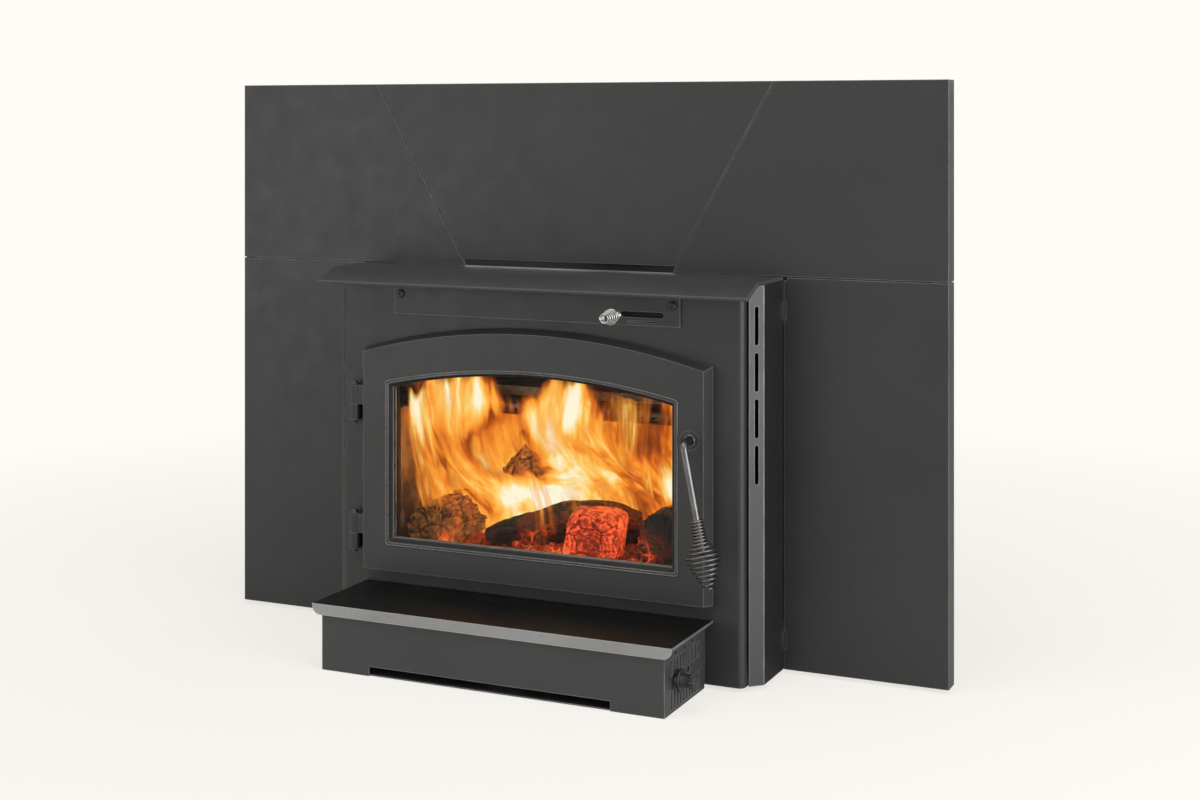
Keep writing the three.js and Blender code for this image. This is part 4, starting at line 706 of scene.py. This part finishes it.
def make_handle():
    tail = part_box("handle_rod")[1].y
    straight = Vector((BEND.x, BEND.y + 0.011, BEND.z))
    leave = BEND + GRIP * 0.011
    coil_at, length, turns, pitch = 92.5, 82.6, 17.5, 3.75
    tip = BEND + GRIP * (coil_at + length / 2 - 3) * MM
    route = [Vector((BEND.x, tail, BEND.z)).lerp(straight, i / 10) for i in range(10)]
    for i in range(17):
        t = i / 16
        route.append(straight * (1 - t) ** 2 + BEND * 2 * t * (1 - t) + leave * t * t)
    route += [leave.lerp(tip, i / 30) for i in range(1, 31)]
    rod = wire("handle_rod_satin", route, ROD * MM, 40)
    piece("handle_rod_satin", rod, satin, "handle", ["handle_rod"])

    thick, widest, widest_at, narrowest = 1.4, 20.6, 47.1, 3.6
    close_turns, easing_turns = 6, 5
    neck = (ROD + 0.3 + thick) / math.cos(math.pi / 8)
    even = close_turns + easing_turns / 2
    loose = (length - pitch * even) / (turns - even)

    def rise_at(share):
        turn = share * turns
        easing = clamp(turn - close_turns, 0, easing_turns)
        widened = easing * easing / (2 * easing_turns) + max(0.0, turn - (close_turns + easing_turns))
        return pitch * turn + (loose - pitch) * widened

    def radius_at(share):
        along = rise_at(share)
        swell = ease(along, length / 4, widest_at)
        taper = clamp((along - widest_at) / (length - widest_at), 0, 1)
        narrow = taper + (taper * taper - taper) * 0.35
        return neck + swell * (widest - neck) - narrow * (widest - narrowest)

    start = Vector((0, 0, 1)).rotation_difference(GRIP) @ Vector((1, 0, 0))
    coil("handle_coil_satin", turns, thick, radius_at, rise_at, BEND + GRIP * coil_at * MM, GRIP, start,
         satin, "handle", "handle_coil_grip")


def make_bush():
    front, back = (corner.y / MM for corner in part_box("handle_bush"))
    outer, bore = 7.4, 5.05
    profile = [
        (0.0, outer - 0.5), (0.4, outer), (back - front - 0.3, outer), (back - front, outer - 0.3),
        (back - front, bore), (0.6, bore), (0.05, bore + 0.5), (0.0, bore + 0.8), (0.45, bore + 1.05),
        (0.45, bore + 1.35), (0.0, bore + 1.6),
    ]
    sides = 64
    rings = []
    for along, radius in profile:
        rings.append([Vector((PIVOT.x + radius * MM * math.cos(a), (front + along) * MM,
                              PIVOT.z + radius * MM * math.sin(a)))
                      for a in (2 * math.pi * s / sides for s in range(sides))])
    piece("handle_bush_turned", rings_mesh("handle_bush_turned", rings, loop=True, sharp=35), satin,
          "door", ["handle_bush"])


# ---------------------------------------------------------------- air control

def make_air_knob():
    base = Vector((130, -177.3 - 20, 460)) * MM
    turns, neck_turns, swell_turns = 9.5, 3, 1.5
    length, neck_end, widest_at = 44, 8, 22
    thick, widest, narrowest = 0.9, 9.6, 5.0
    neck = (2.4 + 0.3 + thick) / math.cos(math.pi / 8)
    cone = (length - widest_at) / (turns - neck_turns - swell_turns)

    def rise_at(share):
        turn = share * turns
        return (min(turn, neck_turns) / neck_turns * neck_end
                + clamp(turn - neck_turns, 0, swell_turns) / swell_turns * (widest_at - neck_end)
                + max(0.0, turn - neck_turns - swell_turns) * cone)

    def radius_at(share):
        along = rise_at(share)
        taper = clamp((along - widest_at) / (length - widest_at), 0, 1)
        return neck + ease(along, neck_end, widest_at) * (widest - neck) - taper * (widest - narrowest)

    coil("air_knob_chrome", turns, thick, radius_at, rise_at, base, (0, -1, 0),
         (1, 0, 0), chrome, "air_control", "air_control_knob")


def make_cover_screws():
    """Low button heads with a hexagon socket."""
    for side in ("left", "right"):
        low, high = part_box(f"air_cover_screw_{side}")
        centre = Vector(((low.x + high.x) / 2, high.y, (low.z + high.z) / 2))
        radius, height = (high.x - low.x) / 2 / MM, (high.y - low.y) / MM
        profile = [(0, radius * 0.96), (0.3, radius), (height * 0.45, radius), (height * 0.75, radius * 0.9),
                   (height * 0.93, radius * 0.7), (height, radius * 0.45), (height, 1.9),
                   (height - 0.2, 1.75), (height - 1.6, 1.7), (height - 1.8, 0.2)]

        def socket(row, angle):
            if row < 6:
                return 1.0
            return math.cos(math.pi / 6) / math.cos((angle % (math.pi / 3)) - math.pi / 6) * 1.08

        name = f"air_cover_screw_{side}_socket"
        mesh = turned(name, centre, (0, -1, 0), profile, 48, 40, socket)
        piece(name, mesh, dark_plastic, "insert", [f"air_cover_screw_{side}"])


# ---------------------------------------------------------------- door

def make_door_detail():
    size = 1.25 * MM
    half, bottom, corner, crown = 200.02, 150, 350, 374

    def round_bead(share, angle):
        return size * math.cos(angle), size * math.sin(angle)

    def trim(share, angle):
        across, thick = 2.9 * math.cos(angle), 0.6 * math.sin(angle)
        return (across + thick * 0.6) * MM, (-across * 0.83 - thick * 0.8) * MM

    for place, grow, deep in (("outer", 8.9, -194.9), ("inner", 6.2, -193.9)):
        bead = arch_path(half + grow, bottom - grow - 1.1, corner + grow - 1.5, crown + grow - 2.0, 3, 3)
        name = f"door_window_bead_{place}"
        piece(name, flat_loop(name, bead, deep * MM, round_bead), bead_paint, "door")
    middle = arch_path(half + 3.4, bottom - 3.9, corner + 2.4, crown + 2.6, 2, 3)
    piece("door_window_trim", flat_loop("door_window_trim", middle, -192.0 * MM, trim), black, "door")

    rope = arch_path(half + 11.1, bottom - 11.1, corner + 10.4, crown + 11.1, 9, 2.0)
    depth, width, strands = 5.3 * MM, 3.0 * MM, 5

    def braid(share, angle):
        lobe = abs(math.sin(strands * angle / 2 + share * 620)) ** 0.7
        cross = abs(math.sin(strands * angle / 2 - share * 620)) ** 0.7
        reach = 0.86 + 0.12 * lobe * cross + 0.02 * lobe
        return width * reach * math.cos(angle), depth * reach * math.sin(angle)

    made = flat_loop("door_rope_braided", rope, -177.1 * MM, braid, 80)
    piece("door_rope_braided", made, fibre, "door", ["door_rope_gasket"])


# ---------------------------------------------------------------- surround

def make_seam_backings():
    """Folded black strips behind the open ends of the surround's seams, so that no daylight shows through
    them: painted shade, dark sheets where the seams are in shade.
    """
    thick = 1.0
    for side, mirror in (("left", -1), ("right", 1)):
        for place, corner, first, second, run in (
            ("casing", (268, -70.4, 512), (0, 0, -9.4), (0, 9, 0), (62, 0, 0)),
            ("outer", (518.1, -72.5, 495), (-14.6, 0, 0), (0, 23.5, 0), (0, 0, 19)),
            ("top", (262, -72.5, 753.1), (0, 0, -12.8), (0, 23.5, 0), (60, 0, 0)),
        ):
            corner, first, second, run = (
                Vector((x * mirror, y, z)) for x, y, z in (corner, first, second, run))
            down, back = first.normalized() * thick, second.normalized() * thick
            ring = [corner, corner + first, corner + first + back, corner + down + back,
                    corner + second + down, corner + second]
            rings = [[(point + run * share) * MM for point in ring] for share in (0, 1)]
            name = f"seam_shade_strip_{place}_{side}"
            piece(name, rings_mesh(name, rings, sharp=30), black, "insert")


# ---------------------------------------------------------------- blower speed knob

def make_speed_knob():
    low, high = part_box("speed_knob")
    start = Vector((low.x, (low.y + high.y) / 2, (low.z + high.z) / 2))
    length = (high.x - low.x) / MM
    profile = [(0, 13.2), (0.5, 14), (2.4, 14), (3.0, 13.3), (3.2, 8.6), (4.2, 8), (length - 7.2, 7.9),
               (length - 6.6, 8.8), (length - 6.1, 9.8), (length - 0.9, 9.5), (length - 0.2, 8.9),
               (length, 8.0), (length, 5.6), (length - 0.5, 5.2), (length - 0.5, 0.2)]

    def fluted(row, angle):
        if 7 <= row <= 10:
            return 1 - 0.11 * (0.5 + 0.5 * math.cos(12 * angle)) ** 2
        return 1.0

    mesh = turned("speed_knob_fluted", start, (1, 0, 0), profile, 96, 35, fluted)
    piece("speed_knob_fluted", mesh, dark_plastic, "speed_dial", ["speed_knob"])


# ---------------------------------------------------------------- fire

def make_air_tubes():
    """Secondary air tubes with a row of real holes towards the window."""
    for number in (1, 2, 3):
        low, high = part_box(f"air_tube_{number}")
        centre_y, centre_z = (low.y + high.y) / 2, (low.z + high.z) / 2
        radius = (high.z - low.z) / 2
        sides, wall = 48, 1.5 * MM
        rings = []
        for x, size in ((low.x, radius), (high.x, radius), (high.x, radius - wall), (low.x, radius - wall)):
            rings.append([Vector((x, centre_y + size * math.cos(2 * math.pi * s / sides),
                                  centre_z + size * math.sin(2 * math.pi * s / sides)))
                          for s in range(sides)])
        name = f"air_tube_{number}_drilled"
        tube = piece(name, rings_mesh(name, rings, loop=True), tubes_steel, "insert",
                     [f"air_tube_{number}"])
        drills = bmesh.new()
        spacing, hole, tilt = 15, 2.1, math.radians(-12)
        aim = Vector((0, -math.cos(tilt), math.sin(tilt)))
        beside = aim.cross(Vector((1, 0, 0)))
        centre = Vector((0, centre_y, centre_z))
        count = int((high.x - low.x) / MM / spacing) - 1
        for i in range(count):
            x = (i - (count - 1) / 2) * spacing * MM
            rim = [Vector((x + hole * MM * math.cos(a), 0, 0)) + beside * hole * MM * math.sin(a)
                   for a in (2 * math.pi * s / 14 for s in range(14))]
            near = [drills.verts.new(centre + p + aim * radius * 0.6) for p in rim]
            far = [drills.verts.new(centre + p + aim * radius * 1.4) for p in rim]
            drills.faces.new(near)
            drills.faces.new(reversed(far))
            for s in range(14):
                k = (s + 1) % 14
                drills.faces.new((near[s], far[s], far[k], near[k]))
        bmesh.ops.recalc_face_normals(drills, faces=drills.faces)
        cutter_mesh = bpy.data.meshes.new("drills")
        drills.to_mesh(cutter_mesh)
        drills.free()
        cutter = bpy.data.objects.new("drills", cutter_mesh)
        scene.collection.objects.link(cutter)
        cut = tube.modifiers.new("holes", "BOOLEAN")
        cut.operation, cut.object, cut.solver = "DIFFERENCE", cutter, "EXACT"
        bpy.context.view_layer.update()
        evaluated = tube.evaluated_get(bpy.context.evaluated_depsgraph_get())
        drilled = bpy.data.meshes.new_from_object(evaluated)
        tube.modifiers.clear()
        tube.data = finished(drilled, True, 40)
        bpy.data.objects.remove(cutter)


# Each log as in the CAD: the middles of its two ends, its radius at each and how strongly it is split flat.
LOGS = [
    ("log_left", (-178, -127, 0), (-176, 75, 0), 40, 36, 0.1),
    ("log_front", (-114, -89, 0), (80, 1, 14), 40, 45, 0.14),
    ("log_ember", (64, -133, 0), (54, -77, 0), 42, 36, 0.16),
    ("log_right", (166, -129, 0), (168, -5, 0), 48, 44, 0.08),
    ("log_leaning", (38, 140, 0), (-112, -7, 92), 36, 38, 0.18),
]


# How much of its thickness a log has lost at its first and second end; it still lies on its underside.
BURNT = {"log_front": (0.55, 0.42), "log_ember": (0.1, 0.0), "log_right": (0.05, 0.3)}


def crack_depth(around, along, seed):
    """How deep the char is cracked at a place on a log's skin, from 0 to 1."""
    near, points = noise.voronoi(Vector((around * 4.2, along * 0.030, seed)))
    second = near[1] - near[0]
    coarse = clamp(1 - second / 0.13, 0, 1)
    near, points = noise.voronoi(Vector((around * 9.5, along * 0.075, seed + 7)))
    fine = clamp(1 - (near[1] - near[0]) / 0.12, 0, 1)
    return max(coarse, fine * 0.45)


def make_logs():
    for number, (node, start, end, size_start, size_end, split) in enumerate(LOGS):
        start, end = Vector(start), Vector(end)
        along = (end - start).normalized()
        across = along.cross(Vector((0, 0, 1))).normalized()
        up = across.cross(along)
        length = (end - start).length
        sides, body_rings = 132, max(24, round(length / 2.2))
        low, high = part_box(node)
        squared = node == "log_ember"
        stations = [(0.0, f) for f in (0.02, 0.2, 0.4, 0.6, 0.8, 0.93)]
        stations += [(i / (body_rings - 1), 1.0) for i in range(body_rings)]
        stations += [(1.0, f) for f in (0.93, 0.8, 0.6, 0.4, 0.2, 0.02)]
        rings = []
        for share, inset in stations:
            centre = start.lerp(end, share)
            radius = size_start + (size_end - size_start) * share
            burnt = BURNT.get(node, (0.0, 0.0))
            worn = radius * (burnt[0] * (1 - share) ** 2.2 + burnt[1] * share ** 3)
            radius -= worn
            centre.z -= worn
            ring = []
            for side in range(sides):
                angle = 2 * math.pi * side / sides
                cos, sin = math.cos(angle), math.sin(angle)
                place = Vector((cos, sin, 0))
                deep = share * length
                rough = noise.fractal(Vector((place.x * 2.2, place.y * 2.2, deep * 0.035 + number * 9)),
                                      1.0, 2.0, 5)
                crack = crack_depth(place.x * 1.3 + place.y * 0.7 + number, deep, number * 3.1)
                chunk = noise.noise(Vector((place.x * 1.1, place.y * 1.1, deep * 0.021 + number * 4)))
                if squared:
                    turned_by = angle + 0.16
                    outline = 0.98 / (abs(math.cos(turned_by)) ** 5 + abs(math.sin(turned_by)) ** 5) ** 0.2
                    dent = clamp(1.2 + 1.4 * rough + 2.0 * chunk, 0.0, 5.0) + 1.3 * crack
                else:
                    outline = 1 - split * (0.5 + 0.5 * math.cos(3 * angle + number + share))
                    dent = clamp(2.2 + 2.2 * rough + 5.5 * chunk, 0.0, 9.0) + 4.2 * crack
                reach = (radius * outline - dent) * inset
                split_end = 0.0
                if inset < 1:
                    spoke = noise.noise(Vector((cos * 3.1, sin * 3.1, number * 5.0)))
                    rays = clamp(1 - abs(spoke) / 0.09, 0, 1) * inset
                    grain = noise.noise(Vector((reach * 0.35 * cos, reach * 0.35 * sin, 4)))
                    split_end = (1 - inset) * 2.5 + rays * 5 + grain * 0.9 + 0.9
                point = centre + (across * cos + up * sin) * reach
                point += along * split_end * (1 if share == 0.0 else -1)
                ring.append(point * MM)
            rings.append(ring)
        drop = low.z - min(point.z for ring in rings for point in ring)
        rings = [[point + Vector((0, 0, drop)) for point in ring] for ring in rings]
        rings = [[Vector((clamp(p.x, low.x, high.x), clamp(p.y, low.y, high.y), clamp(p.z, low.z, high.z)))
                  for p in ring] for ring in rings]
        name = f"{node}_charred"
        finish = {"log_ember": embers, "log_left": bark, "log_leaning": bark}.get(node, wood)
        piece(name, rings_mesh(name, rings, sharp=75), finish, "insert",
              [node])


def make_ember_bed():
    """Ash and coals on the hearth: an uneven bed with loose pieces of charcoal on it."""
    def height(x, y):
        swell = noise.fractal(Vector((x * 0.02, y * 0.02, 3.3)), 1.0, 2.0, 6)
        lump = 1 - clamp(noise.voronoi(Vector((x * 0.055, y * 0.055, 1.7)))[0][0] / 0.75, 0, 1)
        return 122 + 5 * swell + 9 * lump + 6 * clamp(1 - abs(x - 30) / 190, 0, 1)

    half, depth, underside, wide, high = 216, 130, 115.5, 150, 90
    xs = [-half + 2 * half * i / wide for i in range(wide + 1)]
    ys = [-depth + 2 * depth * i / high for i in range(high + 1)]
    points = [Vector((x, y, height(x, y))) * MM for y in ys for x in xs]
    faces = grid_faces(wide, high)
    row = wide + 1
    rim = ([*range(row)] + [j * row + wide for j in range(1, high + 1)]
           + [high * row + i for i in range(wide - 1, -1, -1)] + [j * row for j in range(high - 1, 0, -1)])
    base = len(points)
    points += [Vector((points[i].x, points[i].y, underside * MM)) for i in rim]
    for i in range(len(rim)):
        k = (i + 1) % len(rim)
        faces.append((rim[i], base + i, base + k, rim[k]))
    faces.append(tuple(base + i for i in range(len(rim))))
    draw = random.Random(11)
    for _ in range(110):
        x = draw.uniform(-205, 205)
        y = draw.uniform(-128, -70) if draw.random() < 0.7 else draw.uniform(-70, 100)
        size = draw.uniform(3.5, 8.5)
        middle = Vector((x, y, height(x, y) + size * 0.3))
        squash = Vector((draw.uniform(0.8, 1.5), draw.uniform(0.7, 1.1), draw.uniform(0.5, 0.85)))
        work = bmesh.new()
        bmesh.ops.create_icosphere(work, subdivisions=3, radius=1.0)
        first = len(points)
        for vert in work.verts:
            corner = 1 - 0.35 * noise.voronoi(vert.co * 1.6 + middle)[0][0]
            spot = Vector((vert.co.x * squash.x, vert.co.y * squash.y, vert.co.z * squash.z)) * size * corner
            points.append((middle + spot) * MM)
        for face in work.faces:
            faces.append(tuple(first + vert.index for vert in face.verts))
        work.free()
    uv = [value for face in faces for i in face for value in (points[i].x * 3.1, points[i].y * 2.0)]
    mesh = new_mesh("ember_bed", points, faces, uv)
    piece("ember_bed", finished(mesh, True, 60), coals, "insert")


# Each sheet of fire: its foot and its crest in plan, its height along it and how far that wavers, its hot and
# cold cores (x, z, reach, gain), and its cover, heat at the foot and at the top, fade at the foot and seed.
FLAMES = [
    ("flame_back", [(-214, 60), (-120, 150), (20, 165), (214, 140)],
     [(-212, 40), (-60, 90), (90, 90), (212, 60)],
     [336, 336, 336, 336], 0, [(-0.10, 0.2, 0.2, 0.5)], 0.25, 0.72, 0.22, 0.01, 1.3),
    ("flame_middle", [(-213, -40), (-130, 55), (0, 75), (110, 70), (213, 40)],
     [(-212, -30), (-120, -20), (20, -25), (110, -25), (212, -30)],
     [330, 334, 300, 336, 320], 24, [(-0.05, 0.22, 0.16, 0.6)], 0.42, 0.7, 0.28, 0.01, 4.7),
    ("flame_front", [(-208, -92), (-150, -30), (-60, 15), (60, 62), (140, 30), (209, -20)],
     [(-213, -145), (-140, -152), (-20, -152), (60, -152), (120, -152), (206, -152)],
     [366, 378, 366, 378, 366, 374], 24,
     [(-0.075, 0.18, 0.09, 0.42), (0.0, 0.215, 0.08, 0.4), (0.03, 0.30, 0.085, 0.42),
      (-0.135, 0.34, 0.08, 0.4), (-0.07, 0.262, 0.072, -1.5), (-0.04, 0.375, 0.06, -0.9),
      (0.13, 0.33, 0.075, -0.6), (-0.21, 0.35, 0.05, -0.7)],
     0.42, 0.62, 0.6, 0.01, 8.1),
    ("flame_wisps", [(-206, -116), (-120, -118), (0, -80), (50, -52), (110, -60), (206, -70)],
     [(-198, -156), (-120, -156), (-20, -156), (50, -156), (120, -156), (198, -156)],
     [340, 374, 340, 378, 350, 374], 24,
     [(0.185, 0.235, 0.06, 0.8), (0.045, 0.33, 0.08, 0.5), (-0.15, 0.32, 0.07, 0.45),
      (-0.05, 0.262, 0.05, -1.0)],
     0.86, 0.5, 0.62, 0.35, 12.9),
]


def along_path(values, share):
    """A smooth value along a row of values evenly spread from 0 to 1."""
    at = share * (len(values) - 1)
    i = min(int(at), len(values) - 2)
    t = at - i
    before, after = values[max(i - 1, 0)], values[min(i + 2, len(values) - 1)]
    first, second = values[i], values[i + 1]
    return 0.5 * (2 * first + (second - before) * t + (2 * before - 5 * first + 4 * second - after) * t * t
                  + (3 * first - before - 3 * second + after) * t ** 3)


def make_flames():
    wide, high, base = 150, 70, 118
    for name, foot, crest, heights, waver, *fire in FLAMES:
        seed = fire[-1]
        points = []
        for j in range(high + 1):
            v = j / high
            for i in range(wide + 1):
                u = i / wide
                low = [along_path([p[k] for p in foot], u) for k in (0, 1)]
                top = [along_path([p[k] for p in crest], u) for k in (0, 1)]
                tongue = noise.noise(Vector((u * 13 + seed, seed, 0)))
                tongue += 0.5 * noise.noise(Vector((u * 31 + seed, seed * 2, 0)))
                height = min(along_path(heights, u) + waver * tongue, max(heights))
                lean = ease(v, 0.05, 0.78)
                fold = 9 * noise.noise(Vector((u * 9 + seed, v * 1.7 - seed, seed)))
                fold = fold * (0.3 + 0.7 * v) * (1 - v ** 6)
                x = low[0] + (top[0] - low[0]) * lean + fold * 0.7
                y = low[1] + (top[1] - low[1]) * lean + fold
                points.append(Vector((clamp(x, -216, 216), max(y, -158), base + (height - base) * v)) * MM)
        faces = grid_faces(wide, high)
        uv = [value for face in faces for a in face
              for value in (a % (wide + 1) / wide, a // (wide + 1) / high)]
        mesh = new_mesh(name, points, faces, uv)
        made = piece(name, finished(mesh, False), flame(name, *fire), "insert")
        made.visible_shadow = False


# ---------------------------------------------------------------- assembly

make_camera()
make_world(0.4)
make_floor(0.72)
softbox("right_box", (2.5, -0.95, 0.75), (0.2, -0.1, 0.35), 1.5, 2.0, 6.0)
softbox("left_box", (-2.0, -2.3, 0.35), (-0.2, -0.1, 0.25), 1.6, 1.2, 2.2)
softbox("top_box", (0.0, -1.0, 2.3), (0.0, -0.15, 0.4), 1.8, 1.0, 3.0)
fire_lamp("fire_middle", (-0.02, 0.0, 0.27), 2.2, 0.05, (1.0, 0.46, 0.13))
fire_lamp("fire_left", (-0.13, -0.09, 0.25), 0.8, 0.03, (1.0, 0.42, 0.11))
fire_lamp("fire_right", (0.12, -0.07, 0.25), 0.9, 0.03, (1.0, 0.42, 0.11))

make_handle()
make_bush()
make_air_knob()
make_cover_screws()
make_door_detail()
make_seam_backings()
make_speed_knob()
make_air_tubes()
make_logs()
make_ember_bed()
make_flames()
